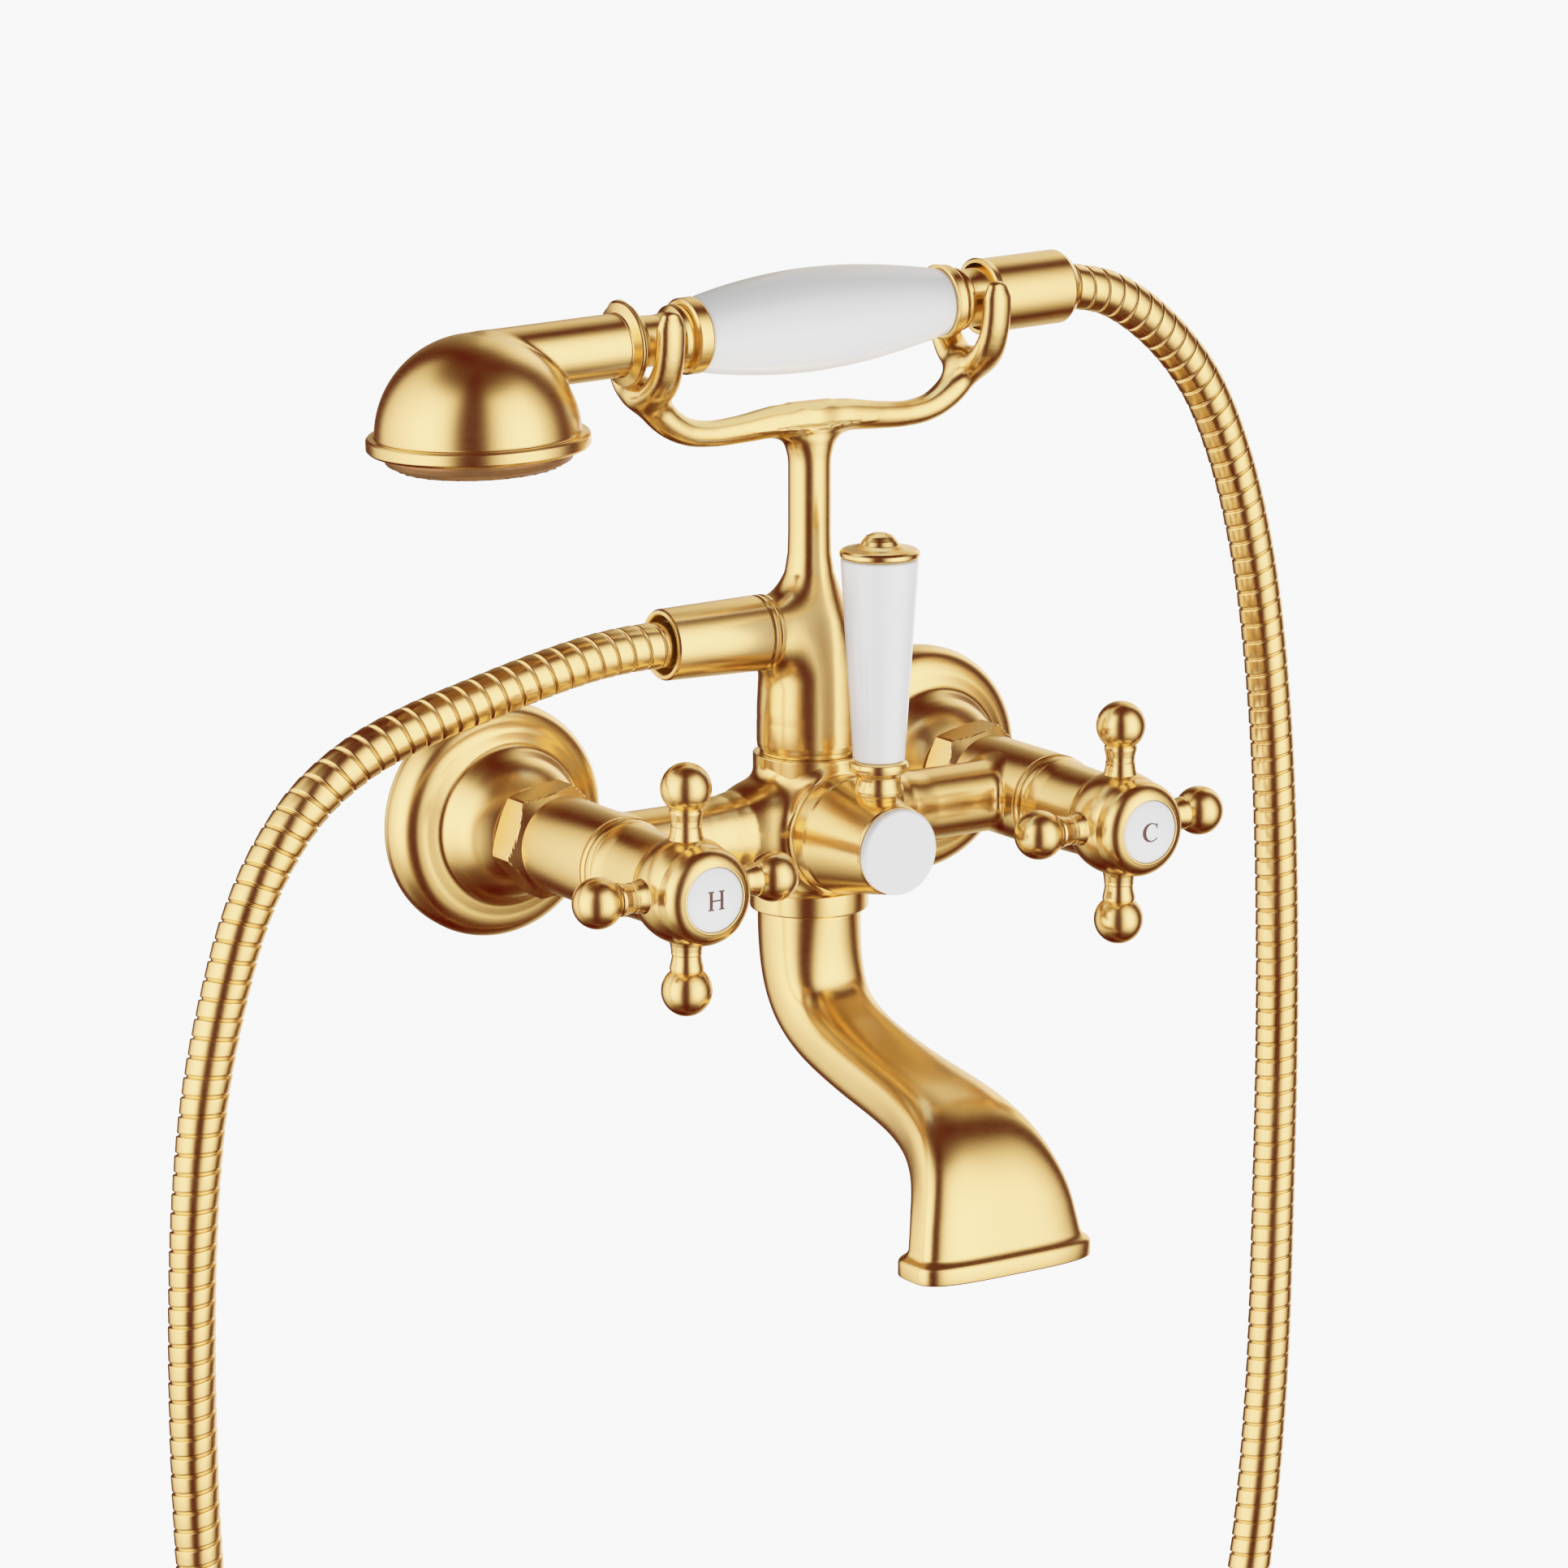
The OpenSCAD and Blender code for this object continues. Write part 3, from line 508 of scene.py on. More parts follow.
def path_field(p, line, radii, squash=(1, 1, 1)):
    """Near distance to a round ended tube whose radius changes along its line."""
    scale = np.array(squash, float)
    q = p * scale
    line = np.asarray(line, float) * scale
    best = np.full(len(p), 1e9)
    for i in range(len(line) - 1):
        a, d = line[i], line[i + 1] - line[i]
        t = np.clip((q - a) @ d / (d @ d), 0, 1)
        gap = np.linalg.norm(q - a - t[:, None] * d, axis=1)
        best = np.minimum(best, gap - (radii[i] + t * (radii[i + 1] - radii[i])))
    return best


def skin_field(field, low, high, cell, settle=3):
    """Mesh of the zero surface of a field, by surface nets, pulled onto the field."""
    low, high = np.array(low, float), np.array(high, float)
    count = np.ceil((high - low) / cell).astype(int) + 1
    axes = [low[k] + cell * np.arange(count[k]) for k in range(3)]
    value = np.empty(count)
    for i, x in enumerate(axes[0]):
        yy, zz = np.meshgrid(axes[1], axes[2], indexing="ij")
        pts = np.stack([np.full(yy.size, x), yy.ravel(), zz.ravel()], 1)
        value[i] = field(pts).reshape(yy.shape)
    inside = value < 0
    shape = tuple(c - 1 for c in count)
    corner = {}
    for dx in (0, 1):
        for dy in (0, 1):
            for dz in (0, 1):
                sl = tuple(slice(o, o + s) for o, s in zip((dx, dy, dz), shape))
                corner[dx, dy, dz] = (inside[sl], value[sl])
    some = np.zeros(shape, bool)
    every = np.ones(shape, bool)
    for state, _ in corner.values():
        some |= state
        every &= state
    mixed = some & ~every
    index = -np.ones(shape, int)
    cells = np.argwhere(mixed)
    index[mixed] = np.arange(len(cells))
    total = np.zeros((len(cells), 3))
    weight = np.zeros(len(cells))
    keys = list(corner)
    for a in keys:
        for b in keys:
            step = np.array(b) - np.array(a)
            if step.sum() != 1 or (step < 0).any():
                continue
            va, vb = corner[a][1][mixed], corner[b][1][mixed]
            cross = (va < 0) != (vb < 0)
            t = np.where(cross, va / np.where(cross, va - vb, 1), 0)
            total += np.where(cross[:, None], np.array(a) + t[:, None] * step, 0)
            weight += cross
    verts = low + cell * (cells + total / weight[:, None])
    faces = []
    for axis in range(3):
        u, v = [k for k in range(3) if k != axis]
        here = [slice(1, s) if k != axis else slice(0, s) for k, s in enumerate(shape)]
        first = inside[tuple(slice(h.start, h.stop) for h in here)]
        shift = [slice(h.start, h.stop) if k != axis else slice(1, shape[k] + 1)
                 for k, h in enumerate(here)]
        second = inside[tuple(shift)]
        edge = np.argwhere(first != second)
        edge[:, u] += 1
        edge[:, v] += 1
        flip = inside[tuple(edge.T)]
        eu, ev = np.eye(3, dtype=int)[u], np.eye(3, dtype=int)[v]
        quad = [index[tuple((edge - d).T)] for d in (eu * 0, eu, eu + ev, ev)]
        quad = np.stack(quad, 1)
        if axis == 1:
            flip = ~flip
        quad[flip] = quad[flip][:, ::-1]
        faces.append(quad)
    faces = np.vstack(faces)
    faces = faces[(faces >= 0).all(1)]
    for _ in range(settle):
        f0 = field(verts)
        nudge = 0.02
        grad = np.stack([(field(verts + nudge * d) - field(verts - nudge * d)) / (2 * nudge)
                         for d in np.eye(3)], 1)
        size = np.maximum((grad ** 2).sum(1), 0.05)
        move = -(f0 / size)[:, None] * grad
        long = np.linalg.norm(move, axis=1, keepdims=True)
        verts = verts + move * np.minimum(1, 0.5 * cell / np.maximum(long, 1e-9))
    return verts, faces.tolist()


CELL = 0.75  # millimetres between a field's samples


def body_field(p):
    """The mixer's middle casting: two valve tubes, the bar, the collar and the diverter boss."""
    q = p.copy()
    q[:, 0] = np.abs(q[:, 0])
    y0 = BODY_Y
    bar = rod_field(q, (0, y0, 0), (VALVE_X, y0, 0), 10.6)
    tube = rod_field(q, (VALVE_X, DATUM_Y - 41.5, 0), (VALVE_X, DATUM_Y - 70.8, 0), 14.15)
    collar = rod_field(q, (0, y0, -18), (0, y0, 20.4), 16.4)
    boss = rod_field(q, (0, y0, 0), (0, DATUM_Y - 70.8, 0), 17.1)
    shoulder = path_field(q, [(0, y0, 0), (16, y0, 0), (24, y0, 0), (30, y0, 0)], [15.4, 15.2, 11.9, 10.2])
    f = smin(collar, boss, 4.5)
    f = smin(f, smin(bar, shoulder, 4.0), 4.5)
    return smin(f, tube, 3.0)


# The riser's stem as (height, radius)
STEM = [(23.5, 15.3), (34, 15.35), (44, 14.9), (54, 13.9), (62, 11.8), (68.5, 9.2), (74.5, 7.2), (80, 6.35),
        (86, 6.2), (110, 6.2), (113.5, 5.8), (116, 4.6), (117.5, 2.5), (118, 0.5)]
# The centrelines of the right arm and of its front prong, with their radii
ARM = smooth_line([(0, BODY_Y, 119.3), (6, BODY_Y, 119.35), (12, BODY_Y, 119.3), (24, BODY_Y, 118.1),
                   (34, BODY_Y, 117.7), (42, BODY_Y, 119), (48.5, BODY_Y, 122.6), (53.4, BODY_Y, 127.6),
                   (FORK_X, BODY_Y, 130.4)], 2.0)
ARM_RADII = np.interp(ARM[:, 0], [0, 12, 24, 34, 42, 48.5, 53.4, FORK_X],
                      [4.8, 4.6, 4.0, 3.75, 3.9, 4.4, 4.8, 4.8])
PRONG = smooth_line([(FORK_X, BODY_Y - y, z) for y, z in
                     ((0, 130.6), (4.6, 131.3), (9.2, 134.6), (12.5, 140.2), (13.9, 147), (14.0, 154.2))], 1.5)
PRONG_RADII = np.interp(PRONG[:, 2], [130.6, 134.6, 140, 147, 151.5, 154.2], [3.9, 3.5, 3.1, 3.0, 2.95, 2.1])


def riser_field(p):
    """The riser: a turned stem, the hose outlet, two arms and their forks."""
    stem = turned_field(p, (0, BODY_Y), STEM)
    outlet = rod_field(p, (0, BODY_Y, OUTLET_Z), (-15.4, BODY_Y, OUTLET_Z), 9.75)
    one_side = p.copy()
    one_side[:, 0] = np.abs(one_side[:, 0])
    arm = path_field(one_side, ARM, ARM_RADII)
    quarter = one_side.copy()
    quarter[:, 1] = BODY_Y - np.abs(quarter[:, 1] - BODY_Y)
    prong = path_field(quarter, PRONG, PRONG_RADII, (0.66, 1, 1))
    return smin(smin(smin(stem, outlet, 8.0), arm, 9.5), prong, 3.5)


def make_body():
    """The body casting: its smooth core with crisp turned ends let into it."""
    core = skin_field(body_field, (-92, -79, -22), (92, -40, 25), CELL)
    parts = [core]
    for side in (-1, 1):
        tube = lathe(rounded([(10.6, 71), (10.6, 72, 0.3), (14.25, 72, 0.5), (14.25, 40.3, 0.5),
                              (11.1, 40.3, 0.3), (11.1, 38), (12.9, 38), (12.9, 36), (7, 36), (7, 48)]))
        parts.append(placed(tube, "-y", (side * VALVE_X, DATUM_Y, 0)))
    boss = lathe(rounded([(11.1, 66), (11.1, 72, 0.3), (17.2, 72, 0.5), (17.2, 66.5), (16.6, 64)]))
    parts.append(placed(boss, "-y", (0, DATUM_Y, 0)))
    collar = lathe(rounded([(12.6, -14), (12.6, -25.2, 0.2), (17.4, -25.2, 0.7), (17.4, -19, 0.9),
                            (16.5, -17.8), (16.5, 21.2, 0.45), (13.1, 21.2, 0.2), (13.1, 12)]))
    parts.append(placed(collar, "z", (0, BODY_Y, 0)))
    add_mesh("body_casting", *join(parts), "mixer", GOLD_SLOT, gold_cast, ("mixer_body",))


def make_riser():
    """The riser casting: its smooth core, a grooved foot and a beaded hose outlet."""
    core = skin_field(riser_field, (-66, -78, 21.6), (66, -38, 161), CELL)
    foot = lathe(rounded([(13, 12), (13, 21.3), (14.5, 21.3, 0.1), (14.55, 22.7, 0.1), (15.2, 22.95, 0.2),
                          (15.4, 24.5, 0.5), (15.4, 30), (15.2, 34)]))
    outlet = lathe(rounded([(9.6, 11), (10.0, 14.4, 0.4), (10.9, 15.0, 0.5), (11.05, 16.2, 0.6),
                            (10.55, 16.75, 0.15), (11.0, 17.3, 0.5), (11.0, 18.2, 0.4), (10.7, 18.75, 0.1),
                            (9.85, 18.8), (9.85, 31, 0.2), (6, 31), (6, 5)]))
    parts = [core, placed(foot, "z", (0, BODY_Y, 0)), placed(outlet, "-x", (0, BODY_Y, OUTLET_Z))]
    add_mesh("riser_casting", *join(parts), "mixer", GOLD_SLOT, gold_cast, ("shower_riser",))


make_body()
make_riser()


# ---------------------------------------------------------------- spout
# The spout's centreline in Y and Z, as two cubic curves
SPOUT_BEND = np.array([(-58, -25.5), (-58, -49), (-63, -57), (-84, -63)], float)
SPOUT_FALL = np.array([(-84, -63), (-122, -74), (-153, -67), (-153, -110.3)], float)
SPOUT_TOP_R = 15.2  # where it meets the body
# Half width and half depth by the share of the way along the spout
SPOUT_WIDE = [(0, SPOUT_TOP_R), (0.18, 14.7), (0.37, 13.8), (0.5, 13.8), (0.63, 14.7), (0.72, 16.6),
              (0.8, 19.4), (0.88, 23.2), (0.95, 27.0), (1, 27.2)]
SPOUT_DEEP = [(0, SPOUT_TOP_R), (0.18, 13.4), (0.37, 11.2), (0.5, 10.0), (0.63, 9.4), (0.8, 9.9),
              (0.9, 9.4), (1, 8.9)]


def bezier(p, t):
    """Points of the cubic curve p at the shares t."""
    t = np.asarray(t, float)[:, None]
    return (1 - t) ** 3 * p[0] + 3 * t * (1 - t) ** 2 * p[1] + 3 * t * t * (1 - t) * p[2] + t ** 3 * p[3]


def soft_lookup(table, t):
    """The table's values at t, rounded off over a short window so that the surface has no kinks."""
    xs, ys = np.array(table, float).T
    total = np.zeros_like(t)
    for shift in np.linspace(-0.05, 0.05, 11):
        total += np.interp(t + shift, xs, ys)
    return total / 11


def make_spout():
    """The spout's outside, lip and inside as one skin: a circle at the top, a rounded oblong at the mouth."""
    sides, steps = 96, 150
    t = np.linspace(0, 1, steps + 1)
    line = np.where((t < 0.5)[:, None], bezier(SPOUT_BEND, np.minimum(2 * t, 1)),
                    bezier(SPOUT_FALL, np.clip(2 * t - 1, 0, 1)))
    slope = unit(np.gradient(line, axis=0))
    slope[0], slope[-1] = (0, -1), (0, -1)
    wide, deep = soft_lookup(SPOUT_WIDE, t), soft_lookup(SPOUT_DEEP, t)
    wide[0] = deep[0] = SPOUT_TOP_R

    def ring(i, grow, lift=0.0):
        e = 2 / (2 + 1.6 * t[i])  # a circle at the top grows squarer towards the mouth
        a = np.arange(sides) * 2 * math.pi / sides
        u = np.sign(np.cos(a)) * np.abs(np.cos(a)) ** e * (wide[i] + grow)
        v = np.sign(np.sin(a)) * np.abs(np.sin(a)) ** e * (deep[i] + grow)
        c, s = line[i], slope[i]
        return np.stack([u, c[0] + v * s[1], c[1] - v * s[0] + lift], 1)

    rings = [ring(i, 0.0) for i in range(0, steps - 9)]
    # a cove, then the flat band of the lip, its lower edge, and the inside
    lip = [(7.6, 0.05), (7.0, 0.2), (6.3, 0.6), (5.7, 1.25), (5.2, 1.95), (4.8, 2.35), (4.3, 2.6),
           (3.9, 2.7), (0.5, 2.7), (0.15, 2.6), (0.0, 2.3), (0.0, -1.4), (0.2, -1.9)]
    for above, grow in lip:
        rings.append(ring(steps, grow, above))
    for i in range(steps - 6, 0, -4):
        rings.append(ring(i, -1.9 - 1.8 * (1 - t[i]) ** 4))
    verts = np.vstack(rings)
    faces = []
    for i in range(len(rings) - 1):
        for j in range(sides):
            k = (j + 1) % sides
            faces.append((i * sides + j, i * sides + k, (i + 1) * sides + k, (i + 1) * sides + j))
    tenon = lathe(rounded([(12.5, -25.4), (SPOUT_TOP_R, -25.4, 0.2), (SPOUT_TOP_R, -26.5)]))
    spout = add_mesh("spout_casting", *join([(verts, faces), placed(tenon, "z", (0, BODY_Y, 0))]),
                     "mixer", GOLD_SLOT, gold_cast, ("spout",))
    tidy(spout)


make_spout()


# ---------------------------------------------------------------- turned parts
def bow(cr, cz, r, start, end, steps=20):
    """Points of an arc about (cr, cz), angles in degrees from the outward radius."""
    return [(cr + r * math.cos(a), cz + r * math.sin(a)) for a in np.radians(np.linspace(start, end, steps))]


FLANGE_FACE = [(34.8, 1.6), (34.95, 4), (34.3, 6.9), (32.9, 9.2), (30.8, 10.9), (28.6, 11.85), (27.3, 12.2),
               (26.2, 12.6), (25.1, 13.0), (24.1, 13.35), (23.2, 13.95), (22.4, 15.1), (21.6, 16.8),
               (20.6, 19.2), (19.2, 21.7), (17.3, 24.1), (15.2, 26.2), (13.7, 27.5)]
FLANGE_BACK = [(13.6, 25.6), (19.4, 20.5), (20.8, 15), (22.6, 11.6), (27, 10), (30.6, 7), (31, 3)]
BONNET = ([(12.35, 79), (12.35, 72.3), (13.6, 72.3), (14.25, 72.8, 0.3), (14.25, 73.6)] +
          bow(9.2, 75.4, 4.8, -20, 28, 12) +
          [(13.0, 82, 2), (12.75, 90), (12.7, 97.6, 0.4), (7.5, 97.6), (7.5, 86)])
HUB = ([(4.1, 99.7), (4.1, 97.9), (12.8, 97.9, 0.2)] + bow(0, 106.2, 15.4, -32, 28, 30) +
       [(13.65, 113.55, 0.05), (14.3, 113.65, 0.12), (14.0, 116.5, 0.7)] + bow(8.6, 115.4, 5.5, 19, 74, 20) +
       [(9.75, 120.85, 0.15), (9.4, 120.9, 0.1), (9.35, 117.8), (4.7, 117.8), (4.7, 113.6)])
BALL_R, BALL_REACH = 7.25, 29
BALL_MEET = 39.0  # degrees from a ball's inner pole to where its arm's neck meets it
ARM_TURNED = ([(4.9, 9), (4.9, 12.4, 0.3), (5.15, 13.0, 0.3), (5.15, 14.1, 0.5), (4.65, 15.6, 0.8),
               (4.35, 17.4, 0.8), (4.38, 18.3, 0.15), (4.15, 18.5, 0.1), (4.3, 20.0, 0.8), (4.8, 22.1, 0.5),
               (4.8, 22.9, 0.3), (4.5, 23.3, 0.2)] +
              [(BALL_R * math.sin(b), BALL_REACH - BALL_R * math.cos(b))
               for b in np.radians(np.linspace(BALL_MEET, 180, 40))])
INDEX_MID, INDEX_BOW = 82, 39.6  # centre and radius of the index disc's gently bowed face
INDEX = [(0, 117.8), (9.3, 117.8, 0.1), (9.3, 120.4, 0.1)] + bow(0, INDEX_MID, INDEX_BOW, 76.5, 90, 16)
KNOB = [(13.6, 78), (13.6, 72.3), (16.6, 72.3, 0.2), (17.2, 72.8, 0.3), (17.2, 77.4, 0.6), (16.8, 78.3, 0.8),
        (12.95, 99.1, 0.4), (12.5, 99.8, 0.2), (11.1, 99.8), (11.1, 98.2), (3.6, 98.2)]
BUTTON = [(0, 98.2), (11, 98.2), (11, 99.85), (12.1, 99.85, 0.1), (12.5, 100.2, 0.2), (12.5, 102, 0.4),
          (11.9, 102.5, 0.6), (6, 102.72), (0, 102.8)]
LEVER_STEM = [(3, 9.2), (3, 12), (5.2, 12), (5.5, 14.8, 0.4), (7.0, 15.4, 0.4), (7.2, 16.6, 0.6),
              (6.6, 18.2, 0.8), (6.3, 19.6, 0.8), (6.4, 20.6, 0.4), (7.4, 21.6, 0.3), (8.4, 22.2, 0.3),
              (8.6, 23.4, 0.7), (8.2, 24.6, 0.4), (7, 25.2, 0.2), (2.2, 25.2), (2.2, 76)]
GRIP = [(2.4, 30), (2.4, 25.3), (7.1, 25.3, 0.2), (7.5, 25.8, 0.3), (11.2, 83.4, 0.4), (10.8, 83.9, 0.2),
        (2.4, 83.9)]
FINIAL = [(2.4, 84.0), (10.9, 84.0, 0.2), (11.5, 84.7, 0.3), (11.5, 85.8, 0.5), (10.6, 86.5, 0.6),
          (7.6, 87.1, 0.8), (5.7, 87.8, 0.5), (5.0, 89.0, 0.8), (3.9, 90.3, 0.9), (2.0, 91.1, 0.8), (0, 91.3)]
RIM = [(26.9, 0.9), (26.9, -3.3), (30.6, -3.3, 0.3), (31.4, -2.5, 0.5), (31.4, 0.2, 0.5), (30.8, 0.9, 0.3),
       (29.2, 1.0, 0.3), (28.9, 1.6)]
SPRAY = [(24.6, -1.4), (26.8, -1.4), (26.8, -4.8, 0.8), (26.1, -6.5, 1.0), (22.5, -8.3, 3), (14, -9.5, 4),
         (0, -9.9)]
NECK = [(5.6, 44.8), (9.12, 44.8), (9.12, 45.6, 0.3), (10.4, 46.1, 0.3), (11.8, 46.6, 0.2),
        (12.1, 47.05, 0.2), (11.75, 47.5, 0.12), (12.1, 47.95, 0.2), (11.8, 48.6, 0.3), (9.2, 49.0, 0.5),
        (8.1, 49.9, 0.5), (7.5, 52, 1), (7.2, 58, 1.5), (7.5, 61.8, 0.8), (9.3, 63.3, 0.4),
        (9.6, 64.6, 0.6), (9.2, 65.9, 0.3), (8.8, 66.2, 0.1), (8.8, 66.6), (5, 66.6)]
FERRULE_LEFT = [(5.1, 66.6), (10.2, 66.6, 0.2), (11, 67.2, 0.3), (11, 70.9, 0.3), (10.7, 71.5, 0.1),
                (5.1, 71.5)]
HANDLE_FROM, HANDLE_TO = 71.5, 155.5  # the porcelain grip, which swells in its middle
HANDLE = [(5.2, HANDLE_FROM), (5.2, HANDLE_TO)]
HANDLE[1:1] = [(10.5 - 0.8 * t + 4.8 * max(0.0, math.sin(math.pi * t ** 0.94)) ** 0.9,
                HANDLE_FROM + (HANDLE_TO - HANDLE_FROM) * t) for t in np.linspace(0, 1, 90)]
FERRULE_RIGHT = [(5.1, 155.5), (10.4, 155.5, 0.1), (10.95, 155.75, 0.15), (10.9, 156.3, 0.2),
                 (10.4, 156.6, 0.2), (10.55, 158.9, 0.4), (10, 159.7, 0.2), (5.1, 159.7)]
TAIL = [(5, 159.7), (9.2, 159.7), (9.2, 162.4, 0.3), (8.5, 163.1, 0.4), (8.5, 175.5), (9.85, 175.9),
        (9.85, 186), (5, 186)]
UPPER_NUT = [(9.9, 180), (9.9, 169.6, 0.1), (10.8, 169.4, 0.1), (11.35, 169.9, 0.15), (11.15, 170.9, 0.3),
             (10.9, 172, 0.4), (10.9, 197.4, 0.9), (9.2, 199.9, 0.8), (7, 199.9, 0.2), (7, 190.7)]
LOWER_NUT = [(9.9, 4.8), (9.9, -12), (10.7, -12, 0.1), (11, -11.6, 0.2), (10.35, 19.3, 0.3), (9.9, 20, 0.2),
             (8.9, 20, 0.15), (8.5, 19.6, 0.15), (8.5, 7.2), (7, 7.2)]


NUT_LOW, NUT_HIGH, NUT_FLAT, NUT_TWIST = 27.0, 40.0, 15.0, 11.0
BACK_CONE = (1.5, 14.4)  # length, and radius where it starts on the nut's face
FRONT_CONE = (3.5, 13.1)


def hex_nut(low, high, flat, twist):
    """A hexagon nut along +Z with a cone turned on each end, which scallops its six flats."""
    sides = 120
    ang = np.arange(sides) * 360.0 / sides
    fold = (ang - twist) % 60 - 30
    hexagon = flat / np.cos(np.radians(fold))
    corner = flat / math.cos(math.radians(30))
    rows = [(low, 13.2)]
    for share in (0.0, 0.15, 0.3, 0.45, 0.6, 0.8, 1.0):
        rows.append((low + BACK_CONE[0] * share, BACK_CONE[1] + (corner - BACK_CONE[1]) * share))
    for share in (1.0, 0.88, 0.76, 0.64, 0.52, 0.4, 0.28, 0.14, 0.0):
        rows.append((high - FRONT_CONE[0] * share, FRONT_CONE[1] + (corner - FRONT_CONE[1]) * share))
    rows.append((high, 11.4))
    verts, faces = [], []
    for z, limit in rows:
        r = np.minimum(hexagon, limit)
        verts.append(np.stack([r * np.cos(np.radians(ang)), r * np.sin(np.radians(ang)),
                               np.full(sides, z)], 1))
    for i in range(len(rows) - 1):
        for j in range(sides):
            k = (j + 1) % sides
            faces.append((i * sides + j, i * sides + k, (i + 1) * sides + k, (i + 1) * sides + j))
    return np.vstack(verts), faces


def turned(name, body, slot, look, profile, axis, at, replaces, tilt=0.0, sides=128):
    """A lathe-turned piece that stands in for the nodes in replaces."""
    add_mesh(name, *placed(lathe(rounded(profile), sides), axis, at, tilt), body, slot, look, replaces)


def head_field(p):
    """The dome of the head, cut off flat inside its rim, with the neck blended into it."""
    c, sn = math.cos(HANDSET_TILT), math.sin(HANDSET_TILT)
    rel = p - np.array(DOME_AT)
    x, z = rel[:, 0] * c + rel[:, 2] * sn, -rel[:, 0] * sn + rel[:, 2] * c
    dome = np.sqrt(x ** 2 + rel[:, 1] ** 2 + z ** 2) - DOME_R
    far = p - np.array(HANDSET_AT)
    along = far[:, 0] * c + far[:, 2] * sn
    off = np.hypot(far[:, 1], -far[:, 0] * sn + far[:, 2] * c)
    past = np.maximum(3.0 - along, 0.0)
    neck = np.maximum(np.hypot(off, past) - 9.1, along - 46.0)
    return np.maximum(smin(dome, neck, 1.2), -1.6 - z)


HUB_OUT = 106  # the middle of a handle's hub, along the valve from the datum
SPRAY_CURVE = [(0, -9.9), (14, -9.5), (22.5, -8.3), (26.1, -6.5)]  # (radius, height) of the spray face
NOZZLE = [(1.15, 0.3), (1.0, -0.05, 0.1), (0.6, -0.1, 0.05), (0.42, -0.08, 0.05), (0.4, 0.3), (0, 0.3)]
NOZZLE_LOOPS, NOZZLES_A_LOOP, LOOP_STEP, NOZZLE_SUNK = 4, 8, 5.6, 0.22


